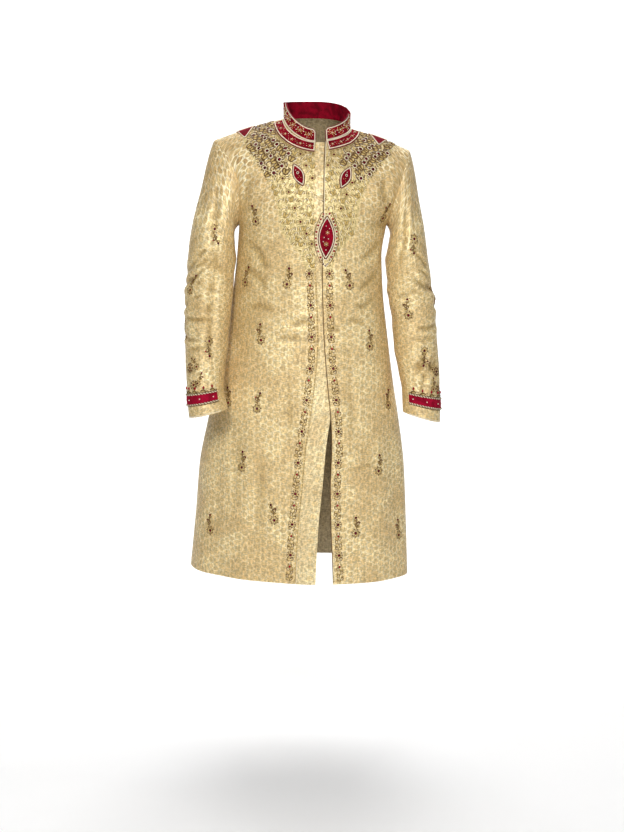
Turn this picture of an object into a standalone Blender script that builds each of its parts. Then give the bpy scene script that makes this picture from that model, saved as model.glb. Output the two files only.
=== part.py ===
"""Sherwani coat in its worn, hollow form: a knee-length buttonless coat with a stand collar.

The coat faces -Y and hangs from its shoulders.  The origin is the middle of the base of the neck.
Each panel is a cloth wall whose outer face is worked out from body sections, an armhole curve and a
shoulder ridge.  Neighbouring panels stop a seam gap apart, and trims are the panel's own points moved out.
"""

import math
from collections import namedtuple

import bmesh
import bpy
from mathutils import Vector

# ---------------------------------------------------------------- driving dimensions, metres

CLOTH = 0.0020            # brocade with its interlining
TRIM_CLOTH = 0.0014       # velvet bands and patches
COLLAR_CLOTH = 0.0026     # stiffened velvet stand
SEAM_GAP = 0.00040        # between two sewn edges
TRIM_GAP = 0.00045        # between a trim and the panel under it

HEM = -1.060              # hem below the base of the neck
HEM_RISE = 0.011          # the right side of the hem hangs this much higher
HEM_RISE_TOP = -0.800     # which begins at this level
HEM_RISE_RUN = 0.250      # and grows over this height
ARMPIT = -0.240           # level of the bottom of both armholes

NECK_HALF = 0.078         # half width of the neck hole
NECK_FRONT = -0.053       # height of the neckline at the centre front
NECK_BACK = 0.012         # height of the neckline at the centre back
RIDGE_CROWN = 0.003       # padding that rounds the shoulder line
RIDGE_SET_BACK = 0.010    # the shoulder line lies this far behind the side seams

PLACKET_WIDTH = 0.045     # strip sewn to the right front, which closes under the left front
LAP_LIFT = 0.0031         # the left front rides this far out over the placket
LAP_REACH = 0.034         # width of the stretch that rides out in full
LAP_FADE = 0.024          # then it sinks back to the body over this width
LAP_END = -0.790          # below this level the fronts have parted and nothing rides out
LAP_END_RUN = 0.070       # the riding out grows over this height

COLLAR_FRONT = 0.030      # height of the stand at its front ends
COLLAR_BACK = 0.037       # and at the centre back
COLLAR_LEAN = 0.005       # the stand leans in by this much
COLLAR_CORNER = 0.005     # its two front corners are this much lower
COLLAR_GROWTH = 1.4       # above 1, the stand reaches its full height before the centre back
COLLAR_ROWS = (0.15, 0.45, 0.75, 1.0)     # shares of the height
BAND_WIDTH = 0.021        # velvet band below the collar seam
BAND_INSET = 0.001        # from the collar seam
BAND_EDGE_INSET = 0.002   # from the front edge
BAND_LAST = 84.0          # degrees from the centre front to its end at the shoulder

CUFF_BAND_WIDTH = 0.025   # velvet band round the cuff of the upper sleeve
CUFF_BAND_LIFT = 0.031    # its distance from the sleeve's edge
CUFF_BAND_INSET = 0.02    # turn of the sleeve left clear at each seam
ARM_LENGTH = 0.390        # of the sleeve below its cap
ARM_ROUND = 0.340         # girth of the sleeve, all round
HALF_BODY = 0.250         # width of a main panel at the side seam's level

NECK_SHARE = 0.36         # share of a panel's columns that ends at the neckline
NECK_COLUMNS = 6
SHOULDER_COLUMNS = 6
BODY_ROWS = 14
YOKE_ROWS = 9
CAP_ROWS = 7
ARM_ROWS = 20
PLACKET_COLUMNS = 4
BAND_ROWS = 4
BAND_COLUMNS = 13
CUFF_BAND_ROWS = 3
PATCH_ROWS = 11
SHOULDER_PATCH_ROWS = 7
PATCH_COLUMNS = 5
FIRST_SHARE = 0.010       # a row of the sleeve this close to the armhole seam
LAST = 0.9995             # panels stop this share of the way to the ridge
TINY = 1e-4               # step for a panel's slopes
STEP = 0.002              # step for a sleeve's slopes
RIM_STEP = 0.01           # step along the armhole, in turns

SIDE_TRIM = SEAM_GAP / 2.0 / HALF_BODY    # share of a main panel that is half a seam gap
RIGHT, LEFT = -1, 1       # the wearer's sides
FRONT, BACK = -1, 1

# ---------------------------------------------------------------- tables

# One row for each level of the body: the middle line, the half widths, the depths and the turn,
# which carries the left side forward and the right side back.
Body = namedtuple("Body", "height middle right left front back turn")
BODY = (
    Body(-1.080, -0.022, 0.284, 0.238, 0.166, 0.176, -0.012),
    Body(-0.920, -0.018, 0.272, 0.229, 0.160, 0.170, -0.011),
    Body(-0.800, -0.015, 0.265, 0.221, 0.156, 0.166, -0.010),
    Body(-0.700, -0.011, 0.249, 0.205, 0.150, 0.160, -0.010),
    Body(-0.600, -0.008, 0.230, 0.187, 0.143, 0.151, -0.010),
    Body(-0.490, -0.004, 0.209, 0.169, 0.133, 0.138, -0.012),
    Body(-0.390, -0.002, 0.196, 0.156, 0.126, 0.124, -0.015),
    Body(-0.310, 0.000, 0.188, 0.151, 0.128, 0.122, -0.012),
    Body(-0.240, 0.000, 0.182, 0.162, 0.130, 0.124, 0.000),
)

# The front edges: the left front's edge over the placket, and the line where the placket is sewn on.
Closure = namedtuple("Closure", "height lap sewn")
CLOSURE = (
    Closure(-1.080, 0.0370, -0.0495),
    Closure(-1.000, 0.0344, -0.0461),
    Closure(-0.920, 0.0312, -0.0414),
    Closure(-0.840, 0.0298, -0.0333),
    Closure(-0.740, 0.0328, -0.0241),
    Closure(-0.680, 0.0306, -0.0150),
    Closure(-0.610, 0.0240, -0.0057),
    Closure(-0.500, 0.0156, 0.0031),
    Closure(-0.390, 0.0119, -0.0002),
    Closure(-0.330, 0.0112, -0.0035),
    Closure(-0.250, 0.0125, -0.0068),
    Closure(-0.150, 0.0148, -0.0070),
    Closure(-0.040, 0.0200, -0.0016),
)

# Where the armhole seams run, as a share of the way up from the armpit to the shoulder point.
Armhole = namedtuple("Armhole", "rise right_front left_front right_back left_back")
ARMHOLE = (
    Armhole(0.00, 0.182, 0.162, 0.182, 0.162),
    Armhole(0.20, 0.179, 0.173, 0.186, 0.178),
    Armhole(0.45, 0.181, 0.187, 0.194, 0.191),
    Armhole(0.70, 0.199, 0.200, 0.209, 0.204),
    Armhole(1.00, 0.238, 0.214, 0.238, 0.214),
)
ARMHOLE_DEPTH = 0.62      # depth at the armhole, as a share of the depth at the middle
ARMHOLE_ROUND = 50.0      # degrees of rise over which the bottom of the armhole rounds
BLADE_ROUND = 0.85        # below 1, the back fills out over the shoulder blades
SLEEVE_MIDDLE = (0.34, 0.0, -0.15)        # a place in the left sleeve, to which its armhole opens

# The shoulder line of each side runs from the neck point to the shoulder point.
Ridge = namedtuple("Ridge", "neck point tip")
RIDGE = {
    RIGHT: Ridge(0.006, 0.238, -0.043),
    LEFT: Ridge(-0.016, 0.214, -0.066),
}
ROOF_FRONT = 0.005        # the ridge carried on across the neck hole, for the fronts
ROOF_BACK = 0.032         # and for the backs

# Soft flutes of the skirt: bearing round the body from the centre front, towards the left side.
Flute = namedtuple("Flute", "bearing width top depth")
FLUTES = (
    Flute(-152, 15, -0.42, 0.008),
    Flute(-112, 14, -0.50, 0.007),
    Flute(-62, 11, -0.60, 0.005),
    Flute(-34, 9, -0.66, 0.004),
    Flute(42, 10, -0.58, 0.004),
    Flute(74, 11, -0.50, 0.005),
    Flute(118, 14, -0.46, 0.007),
    Flute(157, 14, -0.40, 0.008),
)

# Sleeves: the outer and inner lines in the front view, the fore-and-aft middle and half depth.
Arm = namedtuple("Arm", "share outer outer_height inner inner_height middle depth")
ARMS = {
    RIGHT: (
        Arm(0.00, 0.2990, -0.290, 0.1890, -0.318, -0.012, 0.070),
        Arm(0.18, 0.3055, -0.360, 0.1950, -0.382, -0.024, 0.066),
        Arm(0.36, 0.3075, -0.430, 0.2010, -0.445, -0.044, 0.062),
        Arm(0.54, 0.3055, -0.505, 0.2060, -0.508, -0.068, 0.057),
        Arm(0.72, 0.3020, -0.570, 0.2120, -0.563, -0.094, 0.052),
        Arm(0.86, 0.2980, -0.626, 0.2135, -0.612, -0.118, 0.048),
        Arm(1.00, 0.2925, -0.675, 0.2030, -0.655, -0.136, 0.046),
    ),
    LEFT: (
        Arm(0.00, 0.2570, -0.295, 0.1600, -0.320, -0.004, 0.068),
        Arm(0.18, 0.2680, -0.365, 0.1640, -0.385, -0.008, 0.065),
        Arm(0.36, 0.2785, -0.440, 0.1750, -0.450, -0.014, 0.061),
        Arm(0.54, 0.2830, -0.515, 0.1800, -0.515, -0.024, 0.056),
        Arm(0.72, 0.2870, -0.590, 0.1915, -0.580, -0.040, 0.051),
        Arm(0.86, 0.2880, -0.642, 0.1985, -0.624, -0.054, 0.048),
        Arm(1.00, 0.2870, -0.694, 0.2000, -0.670, -0.066, 0.046),
    ),
}
CAP_SHARE = CAP_ROWS / (CAP_ROWS + ARM_ROWS)
CAP_START = 0.030         # how firmly the sleeve leaves the armhole at the shoulder
UNDERARM_START = 0.065    # and at the armpit, where it first bulges away from the body
CAP_END = 0.110           # how firmly it runs on down the arm
UNDERARM_END = 0.0495     # and under the arm

# The sleeve is cut in two: its seams lie at these turns from the shoulder point, forward first.
FORE_SEAM = 7 / 18
HIND_SEAM = 13 / 18

# Sleeve creases: where along the arm and round it, half length round, half width along, depth, slant.
Crease = namedtuple("Crease", "share turn reach width depth slant")
CREASES = {
    RIGHT: (
        Crease(0.16, 0.22, 0.20, 0.030, 0.0040, 0.16),
        Crease(0.30, 0.30, 0.17, 0.024, 0.0045, 0.14),
        Crease(0.40, 0.20, 0.18, 0.022, 0.0045, 0.05),
        Crease(0.50, 0.26, 0.16, 0.020, 0.0035, -0.04),
        Crease(0.36, 0.72, 0.18, 0.026, 0.0045, -0.08),
        Crease(0.62, 0.74, 0.16, 0.026, 0.0035, 0.06),
    ),
    LEFT: (
        Crease(0.17, 0.24, 0.20, 0.030, 0.0035, 0.15),
        Crease(0.34, 0.28, 0.18, 0.022, 0.0040, 0.08),
        Crease(0.43, 0.24, 0.20, 0.020, 0.0050, 0.03),
        Crease(0.56, 0.32, 0.16, 0.024, 0.0035, -0.10),
        Crease(0.38, 0.72, 0.18, 0.026, 0.0045, 0.08),
        Crease(0.64, 0.74, 0.16, 0.026, 0.0035, -0.06),
    ),
}

CREASE_FADE = 0.10        # the creases die out over this share at both ends
FOLD_OFFSET = 1.9         # beside each crease a fold stands up, this many widths along
FOLD_SHARE = 0.6          # and this much of the crease's depth in height

# Velvet patches on the fronts: centre, length, width, lean from upright and gap under them.
Patch = namedtuple("Patch", "side across height length width lean gap")
PATCHES = {
    "chest_marquise": Patch(LEFT, 0.0205, -0.268, 0.092, 0.033, 2.0, TRIM_GAP + 0.0004),
    "chest_leaf_right": Patch(RIGHT, -0.0420, -0.128, 0.050, 0.022, -24.0, TRIM_GAP),
    "chest_leaf_left": Patch(LEFT, 0.0640, -0.134, 0.050, 0.022, 24.0, TRIM_GAP),
}
PATCH_TIP = 0.05          # half width at a patch's points, as a share of its greatest
PATCH_FULLNESS = 0.9      # below 1, its sides are fuller than a cosine
# Velvet patches on top of the shoulders: distance from the middle, and the stretch they cover forward.
ShoulderPatch = namedtuple("ShoulderPatch", "side across width first last")
SHOULDER_PATCHES = {
    "shoulder_patch_right": ShoulderPatch(RIGHT, 0.165, 0.044, 64.0, 84.0),
    "shoulder_patch_left": ShoulderPatch(LEFT, 0.141, 0.044, 64.0, 84.0),
}
SHOULDER_PATCH_TIP = 0.08
SHOULDER_PATCH_FULLNESS = 0.7

Finish = namedtuple("Finish", "colour roughness")
BROCADE = Finish((0.60, 0.46, 0.26), 0.48)
PLAIN_BROCADE = Finish((0.66, 0.53, 0.32), 0.44)
VELVET = Finish((0.26, 0.008, 0.022), 0.85)


# ---------------------------------------------------------------- working things out


def smooth(share):
    """Ease a share from 0 to 1."""
    share = min(1.0, max(0.0, share))
    return share * share * (3.0 - 2.0 * share)


def read_table(rows, value):
    """Read a table at a value of its first column, through a smooth curve that never overshoots."""
    first = [row[0] for row in rows]
    value = min(max(value, first[0]), first[-1])
    at = max(i for i in range(len(rows) - 1) if first[i] <= value)
    width = first[at + 1] - first[at]
    t = (value - first[at]) / width
    result = [value]
    for column in range(1, len(rows[0])):
        slopes = []
        for i in (at, at + 1):
            before = (rows[i][column] - rows[i - 1][column]) / (first[i] - first[i - 1]) if i else None
            after = None
            if i < len(rows) - 1:
                after = (rows[i + 1][column] - rows[i][column]) / (first[i + 1] - first[i])
            if before is None or after is None:
                slopes.append(before if after is None else after)
            elif before * after <= 0.0:
                slopes.append(0.0)
            else:
                slopes.append(2.0 * before * after / (before + after))
        start, end = rows[at][column], rows[at + 1][column]
        result.append(
            start * (1.0 + 2.0 * t) * (1.0 - t) ** 2
            + slopes[0] * width * t * (1.0 - t) ** 2
            + end * t * t * (3.0 - 2.0 * t)
            + slopes[1] * width * t * t * (t - 1.0)
        )
    return type(rows[0])(*result)


def shoulder_ridge(x):
    """Height of the shoulder line above a point across the body."""
    side = LEFT if x > 0.0 else RIGHT
    ridge = RIDGE[side]
    share = (abs(x) - NECK_HALF) / (ridge.point - NECK_HALF)
    crown = RIDGE_CROWN * math.sin(math.pi * min(1.0, max(0.0, share)))
    return ridge.neck + (ridge.tip - ridge.neck) * share + crown


def roof(x, face):
    """The ridge, carried on smoothly across the neck hole."""
    if abs(x) >= NECK_HALF:
        return shoulder_ridge(x)
    side = LEFT if x > 0.0 else RIGHT
    middle = ROOF_FRONT if face == FRONT else ROOF_BACK
    return middle + (RIDGE[side].neck - middle) * (x / NECK_HALF) ** 2


def neckline_height(x, face, outset=0.0):
    """Height of the neckline, or of a line set out from it, above a point across the body."""
    side = LEFT if x > 0.0 else RIGHT
    middle = (NECK_FRONT if face == FRONT else NECK_BACK) - outset
    end = shoulder_ridge(side * (NECK_HALF + outset))
    share = min(1.0, abs(x) / (NECK_HALF + outset))
    return middle + (end - middle) * (1.0 - math.sqrt(1.0 - share * share))


def climb(x, height, face):
    """Angle of the climb from the armpit level, 0 degrees, to the ridge, 90 degrees."""
    return math.asin(min(1.0, max(0.0, (height - ARMPIT) / (roof(x, face) - ARMPIT))))


def armhole_across(side, face, angle):
    """Distance of the armhole seam from the middle plane, at an angle of the climb."""
    row = read_table(ARMHOLE, math.sin(angle))
    if side == RIGHT:
        return row.right_front if face == FRONT else row.right_back
    return row.left_front if face == FRONT else row.left_back


def yoke_point(x, face, angle):
    """Point of the body above the armpits."""
    level = read_table(BODY, ARMPIT)
    side = LEFT if x > level.middle else RIGHT
    rounding = min(1.0, math.degrees(angle) / ARMHOLE_ROUND)
    rim = ARMHOLE_DEPTH * math.sqrt(max(0.0, 1.0 - (1.0 - rounding) ** 2))
    reach = (armhole_across(side, face, angle) - side * level.middle) / math.sqrt(1.0 - rim * rim)
    share = min(1.0, abs(x - level.middle) / reach)
    depth = level.front * math.cos(angle) if face == FRONT else level.back * math.cos(angle) ** BLADE_ROUND
    y = RIDGE_SET_BACK * math.sin(angle) ** 2 + face * depth * math.sqrt(1.0 - share * share)
    return Vector((x, y, ARMPIT + (roof(x, face) - ARMPIT) * math.sin(angle)))


def flute_depth(bearing, height):
    """How far the skirt's flutes stand out at a bearing and height."""
    total = 0.0
    for flute in FLUTES:
        offset = (bearing - flute.bearing + 180.0) % 360.0 - 180.0
        growth = smooth((flute.top - height) / (flute.top - HEM))
        total += flute.depth * growth * math.exp(-((offset / flute.width) ** 2))
    return total


def skirt_point(x, face, height):
    """Point of the body below the armpits."""
    row = read_table(BODY, height)
    half = row.left if x > row.middle else row.right
    share = min(1.0, max(-1.0, (x - row.middle) / half))
    depth = row.front if face == FRONT else row.back
    rest = math.sqrt(1.0 - share * share)
    y = row.turn * share + face * depth * rest
    bearing = math.degrees(math.asin(share))
    if face == BACK:
        bearing = 180.0 - bearing
    outward = Vector((share / half, face * rest / depth, 0.0)).normalized()
    lift = HEM_RISE * max(0.0, -share) * smooth((HEM_RISE_TOP - height) / HEM_RISE_RUN)
    return Vector((x, y, height + lift)) + outward * flute_depth(bearing, height)


def front_point(x, height):
    """Point of the front over a place given across and up."""
    if height <= ARMPIT:
        return skirt_point(x, FRONT, height)
    return yoke_point(x, FRONT, climb(x, height, FRONT))


def inner_edge(side, face, height):
    """Where a main panel starts: the closure line, the placket's seam or the centre back seam."""
    if face == BACK:
        return side * SEAM_GAP / 2.0
    row = read_table(CLOSURE, height)
    return row.lap if side == LEFT else row.sewn - SEAM_GAP


def lap_lift(x, height):
    """How far the left front rides out over the placket."""
    edge = read_table(CLOSURE, height).lap
    fade = 1.0 - smooth((x - edge - LAP_REACH) / LAP_FADE)
    return LAP_LIFT * fade * smooth((height - LAP_END) / LAP_END_RUN)


def panel_base(side, face, across, up):
    """Point of a main panel: across from its inner edge to its side, up from the hem (0) over the
    armpit (1) to its top edge (2)."""
    if up <= 1.0:
        height = HEM + (ARMPIT - HEM) * up
        row = read_table(BODY, height)
        half = row.left if side == LEFT else row.right
        start = math.asin(side * (inner_edge(side, face, height) - row.middle) / half)
        angle = start + (math.pi / 2.0 - start) * across
        return skirt_point(row.middle + side * half * math.sin(angle), face, height)
    rise = up - 1.0
    top = NECK_FRONT if face == FRONT else NECK_BACK
    top_start = side * inner_edge(side, face, top)
    tip = armhole_across(side, face, math.pi / 2.0)
    if across < NECK_SHARE:
        turn = math.sin(math.pi / 2.0 * across / NECK_SHARE)
        top_x = top_start + (NECK_HALF - top_start) * turn
        top_angle = climb(side * top_x, neckline_height(side * top_x, face), face)
    else:
        top_x = NECK_HALF + (tip - NECK_HALF) * (across - NECK_SHARE) / (1.0 - NECK_SHARE)
        top_angle = math.pi / 2.0
    top_share = (top_x - top_start) / (tip - top_start)
    level = read_table(BODY, ARMPIT)
    half = level.left if side == LEFT else level.right
    start = math.asin(side * (inner_edge(side, face, ARMPIT) - level.middle) / half)
    low_sine = math.sin(start + (math.pi / 2.0 - start) * across)
    low_share = (low_sine - math.sin(start)) / (1.0 - math.sin(start))
    angle = top_angle * rise
    edge = side * inner_edge(side, face, ARMPIT + (roof(0.0, face) - ARMPIT) * math.sin(angle))
    share = low_share + (top_share - low_share) * smooth(rise)
    x = side * (edge + (armhole_across(side, face, angle) - edge) * share)
    return yoke_point(x, face, angle)


def surface_normal(surface, where, u, v, outward):
    """Outward normal of a surface, which is a function of some fixed values and two shares."""
    here = surface(*where, u, v)
    beside = surface(*where, u + (TINY if u < 0.5 else -TINY), v)
    above = surface(*where, u, v + (TINY if v < 0.5 else -TINY))
    normal = (beside - here).cross(above - here).normalized()
    return normal if normal.dot(outward) >= 0.0 else -normal


def body_outward(point):
    """A direction that leads out of the body near a point, and upward near the shoulders."""
    return Vector((point.x, point.y, 0.25 * max(0.0, point.z + 0.2)))


def lapped(side, base, normal):
    """A point of a front, moved out where the left front rides over the placket."""
    return base + normal * lap_lift(base.x, base.z) if side == LEFT else base


def panel_frame(side, face, across, up):
    """Outer point and outward normal of a main panel."""
    base = panel_base(side, face, across, up)
    normal = surface_normal(panel_base, (side, face), across, up, body_outward(base))
    return (lapped(side, base, normal) if face == FRONT else base), normal


# ---------------------------------------------------------------- making objects


def material(name, finish):
    """A plain finish of its own for one object."""
    made = bpy.data.materials.new(name)
    made.use_nodes = True
    shader = made.node_tree.nodes["Principled BSDF"]
    shader.inputs["Base Color"].default_value = (*finish.colour, 1.0)
    shader.inputs["Roughness"].default_value = finish.roughness
    shader.inputs["Metallic"].default_value = 0.0
    return made


def cloth_wall(name, outer, inner, finish):
    """A closed wall between two grids of points, listed row by row."""
    mesh = bmesh.new()
    rows, columns = len(outer), len(outer[0])
    skins = [[[mesh.verts.new(p) for p in row] for row in grid] for grid in (outer, inner)]
    for skin in skins:
        for r in range(rows - 1):
            for c in range(columns - 1):
                mesh.faces.new((skin[r][c], skin[r][c + 1], skin[r + 1][c + 1], skin[r + 1][c]))
    rim = [(0, c) for c in range(columns - 1)]
    rim += [(r, columns - 1) for r in range(rows - 1)]
    rim += [(rows - 1, c) for c in range(columns - 1, 0, -1)]
    rim += [(r, 0) for r in range(rows - 1, 0, -1)]
    for this, following in zip(rim, rim[1:] + rim[:1]):
        corners = [skins[0][this[0]][this[1]], skins[0][following[0]][following[1]]]
        corners += [skins[1][following[0]][following[1]], skins[1][this[0]][this[1]]]
        mesh.faces.new(corners)
    bmesh.ops.recalc_face_normals(mesh, faces=mesh.faces)
    bmesh.ops.triangulate(mesh, faces=mesh.faces)
    data = bpy.data.meshes.new(name)
    mesh.to_mesh(data)
    mesh.free()
    data.materials.append(material(name, finish))
    data.shade_smooth()
    data.set_sharp_from_angle(angle=math.radians(40.0))
    made = bpy.data.objects.new(name, data)
    bpy.context.scene.collection.objects.link(made)
    return made


def wall_from_frames(name, frames, finish, thickness=CLOTH, lift=0.0):
    """A wall whose outer and inner points come from points and normals."""
    outer = [[point + normal * (lift + thickness) for point, normal in row] for row in frames]
    inner = [[point + normal * lift for point, normal in row] for row in frames]
    return cloth_wall(name, outer, inner, finish)


def spread(first, last, count):
    """Evenly spread values, both ends included."""
    return [first + (last - first) * i / (count - 1) for i in range(count)]


def panel_columns():
    """Columns of a main panel: to the neck point, then to its side, stopping short of the seam."""
    neck = spread(0.0, NECK_SHARE, NECK_COLUMNS)
    shoulder = spread(NECK_SHARE, 1.0 - SIDE_TRIM, SHOULDER_COLUMNS + 1)
    return neck + shoulder[1:]


def panel_rows():
    """Rows of a main panel, from the hem to its top edge."""
    body = spread(0.0, 1.0, BODY_ROWS + 1)
    yoke = spread(1.0, 1.0 + LAST, YOKE_ROWS + 1)
    return body + yoke[1:]


def main_panel(name, side, face):
    """One front or back, from its inner edge to the side seam and armhole."""
    frames = []
    for up in panel_rows():
        frames.append([panel_frame(side, face, across, up) for across in panel_columns()])
    return wall_from_frames(name, frames, BROCADE, lift=-CLOTH)


def placket_point(height, across, up):
    """Point of the placket: across from its seam, up through a short stretch about a height."""
    level = height + (up - 0.5) * PLACKET_WIDTH
    return front_point(read_table(CLOSURE, level).sewn + PLACKET_WIDTH * across, level)


def placket():
    """The strip that carries on the right front and closes under the left front."""
    frames = []
    for up in panel_rows():
        height = HEM + (ARMPIT - HEM) * up if up <= 1.0 else panel_base(RIGHT, FRONT, 0.0, up).z
        row = []
        for across in spread(0.0, 1.0, PLACKET_COLUMNS):
            base = placket_point(height, across, 0.5)
            row.append((base, surface_normal(placket_point, (height,), across, 0.5, body_outward(base))))
        frames.append(row)
    return wall_from_frames("placket", frames, PLAIN_BROCADE, lift=-CLOTH)


# ---------------------------------------------------------------- sleeves


def armhole_frame(side, turn):
    """Outer point and normal of the body along the armhole, at a turn from the shoulder point."""
    turn = turn % 1.0
    face = FRONT if turn <= 0.5 else BACK
    return panel_frame(side, face, 1.0 - SIDE_TRIM, 1.0 + LAST * abs(1.0 - 2.0 * turn))


def armhole_rim(side, turn):
    """Outer point, body normal and outgoing direction of the armhole at a turn from the shoulder
    point, forward first; half a turn is the armpit."""
    point, normal = armhole_frame(side, turn)
    along = armhole_frame(side, turn + RIM_STEP)[0] - armhole_frame(side, turn - RIM_STEP)[0]
    out = along.cross(normal).normalized()
    across, middle, height = SLEEVE_MIDDLE
    if out.dot(Vector((side * across, middle, height)) - point) < 0.0:
        out = -out
    return point, normal, out


def arm_ring(side, share, turn):
    """Point of the sleeve below the cap, and the way the arm runs there."""
    row = read_table(ARMS[side], share)
    outer = Vector((side * row.outer, row.middle, row.outer_height))
    inner = Vector((side * row.inner, row.middle, row.inner_height))
    angle = 2.0 * math.pi * turn
    centre = (outer + inner) / 2.0
    centre += (outer - inner) / 2.0 * math.cos(angle)
    return centre - Vector((0.0, row.depth * math.sin(angle), 0.0))


def sleeve_base(side, turn, share):
    """Point of the sleeve: a curve from the armhole to the first arm ring, then down the arm."""
    if share >= CAP_SHARE:
        return arm_ring(side, (share - CAP_SHARE) / (1.0 - CAP_SHARE), turn)
    start, normal, out = armhole_rim(side, turn)
    start = start + out * SEAM_GAP
    under = 0.5 - 0.5 * math.cos(2.0 * math.pi * turn)
    lead = (out * (1.0 - under) + normal * under).normalized()
    end = arm_ring(side, 0.0, turn)
    run = (arm_ring(side, 0.02, turn) - end).normalized()
    t = share / CAP_SHARE
    firm = CAP_START + (UNDERARM_START - CAP_START) * under
    finish = CAP_END + (UNDERARM_END - CAP_END) * under
    return (
        start * (1.0 + 2.0 * t) * (1.0 - t) ** 2
        + lead * firm * t * (1.0 - t) ** 2
        + end * t * t * (3.0 - 2.0 * t)
        + run * finish * t * t * (t - 1.0)
    )


def crease_depth(side, turn, share):
    """How deep the creases are pressed in at a place on the sleeve."""
    total = 0.0
    for crease in CREASES[side]:
        round_off = (turn - crease.turn + 0.5) % 1.0 - 0.5
        along_off = (share - crease.share - crease.slant * round_off) / crease.width
        fall = math.exp(-(along_off ** 2)) - FOLD_SHARE * math.exp(-((along_off - FOLD_OFFSET) ** 2))
        total += crease.depth * fall * math.exp(-((round_off / crease.reach) ** 2))
    return total


def sleeve_frame(side, turn, share):
    """Outer point and outward normal of a sleeve."""
    across = sleeve_base(side, turn + STEP, share) - sleeve_base(side, turn - STEP, share)
    down = sleeve_base(side, turn, min(1.0, share + STEP)) - sleeve_base(side, turn, max(0.0, share - STEP))
    normal = across.cross(down).normalized() * side
    fade = smooth(share / CREASE_FADE) * smooth((1.0 - share) / CREASE_FADE)
    return sleeve_base(side, turn, share) - normal * crease_depth(side, turn, share) * fade, normal


def sleeve_turns(first, last, gap):
    """Columns of a sleeve piece between its two seams, kept to the rows of the armhole."""
    step = 0.5 / YOKE_ROWS
    inside = [i * step for i in range(-2 * YOKE_ROWS, 2 * YOKE_ROWS + 1)]
    inside = [turn for turn in inside if first + 0.2 * step < turn < last - 0.2 * step]
    return [first + gap] + inside + [last - gap]


def seam_frame(side, turn, share):
    """Outer point and normal of a sleeve close to the armhole, where its wall follows the body's."""
    rim, rim_normal, out = armhole_rim(side, turn)
    point, normal = sleeve_frame(side, turn, share)
    hold = 1.0 - smooth(share * CAP_ROWS / CAP_SHARE)
    if share == 0.0:
        point = rim + out * SEAM_GAP
    else:
        hold *= 0.5 + 0.5 * math.cos(2.0 * math.pi * turn)
    return point, (rim_normal * hold + normal * (1.0 - hold)).normalized()


def sleeve_piece(name, side, first, last):
    """The upper or under piece of a sleeve, from the armhole to the cuff."""
    turns = sleeve_turns(first, last, SEAM_GAP / 2.0 / ARM_ROUND)
    shares = [0.0, FIRST_SHARE] + spread(CAP_SHARE / CAP_ROWS, CAP_SHARE, CAP_ROWS)
    shares += spread(CAP_SHARE, 1.0, ARM_ROWS + 1)[1:]
    frames = []
    for share in shares:
        frame = seam_frame if share < CAP_SHARE / CAP_ROWS else sleeve_frame
        frames.append([frame(side, turn, share) for turn in turns])
    return wall_from_frames(name, frames, BROCADE, lift=-CLOTH)


def cuff_band(name, side):
    """Velvet band round the cuff of the upper sleeve."""
    low = 1.0 - CUFF_BAND_LIFT / ARM_LENGTH * (1.0 - CAP_SHARE)
    high = low - CUFF_BAND_WIDTH / ARM_LENGTH * (1.0 - CAP_SHARE)
    turns = sleeve_turns(HIND_SEAM - 1.0 + CUFF_BAND_INSET, FORE_SEAM - CUFF_BAND_INSET, 0.0)
    frames = []
    for share in spread(high, low, CUFF_BAND_ROWS):
        frames.append([sleeve_frame(side, turn, share) for turn in turns])
    return wall_from_frames(name, frames, VELVET, TRIM_CLOTH, TRIM_GAP)


# ---------------------------------------------------------------- collar and trims


def neck_ring():
    """Neckline from the right front's edge round the back to the left front's edge."""
    stops = []
    neck = spread(0.0, NECK_SHARE, NECK_COLUMNS)
    stops += [(RIGHT, FRONT, across) for across in neck]
    stops += [(RIGHT, BACK, across) for across in reversed(neck[:-1])]
    stops += [(LEFT, BACK, across) for across in neck[1:]]
    stops += [(LEFT, FRONT, across) for across in reversed(neck[:-1])]
    return [panel_frame(side, face, across, 1.0 + LAST) for side, face, across in stops]


def collar_stand():
    """The stand, sewn to the neckline and open at the front."""
    ring = neck_ring()
    last = len(ring) - 1
    outer = [[] for _ in range(len(COLLAR_ROWS) + 1)]
    inner = [[] for _ in range(len(COLLAR_ROWS) + 1)]
    for i, (point, normal) in enumerate(ring):
        along = ring[min(i + 1, last)][0] - ring[max(i - 1, 0)][0]
        out = along.cross(normal).normalized()
        if out.dot(Vector((-point.x, -point.y, NECK_HALF))) < 0.0:
            out = -out
        away = Vector((along.y, -along.x, 0.0)).normalized()
        if away.dot(point) < 0.0:
            away = -away
        foot = point + out * SEAM_GAP
        share = 1.0 - abs(2.0 * i / last - 1.0)
        height = COLLAR_FRONT + (COLLAR_BACK - COLLAR_FRONT) * smooth(share * COLLAR_GROWTH)
        if i in (0, last):
            height -= COLLAR_CORNER
        outer[0].append(foot)
        inner[0].append(foot - normal * CLOTH)
        for row, rise in enumerate(COLLAR_ROWS, start=1):
            skin = foot + Vector((0.0, 0.0, height * rise)) - away * COLLAR_LEAN * rise
            outer[row].append(skin)
            inner[row].append(skin - away * COLLAR_CLOTH)
    return cloth_wall("collar_stand", outer, inner, VELVET)


def band_point(side, outset, bearing, out):
    """Point of the front beside the neckline: out through a short stretch about an outset."""
    width = outset + (out - 0.5) * BAND_WIDTH
    x = side * (NECK_HALF + width) * math.sin(bearing)
    return yoke_point(x, FRONT, climb(x, neckline_height(x, FRONT, width), FRONT))


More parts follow.
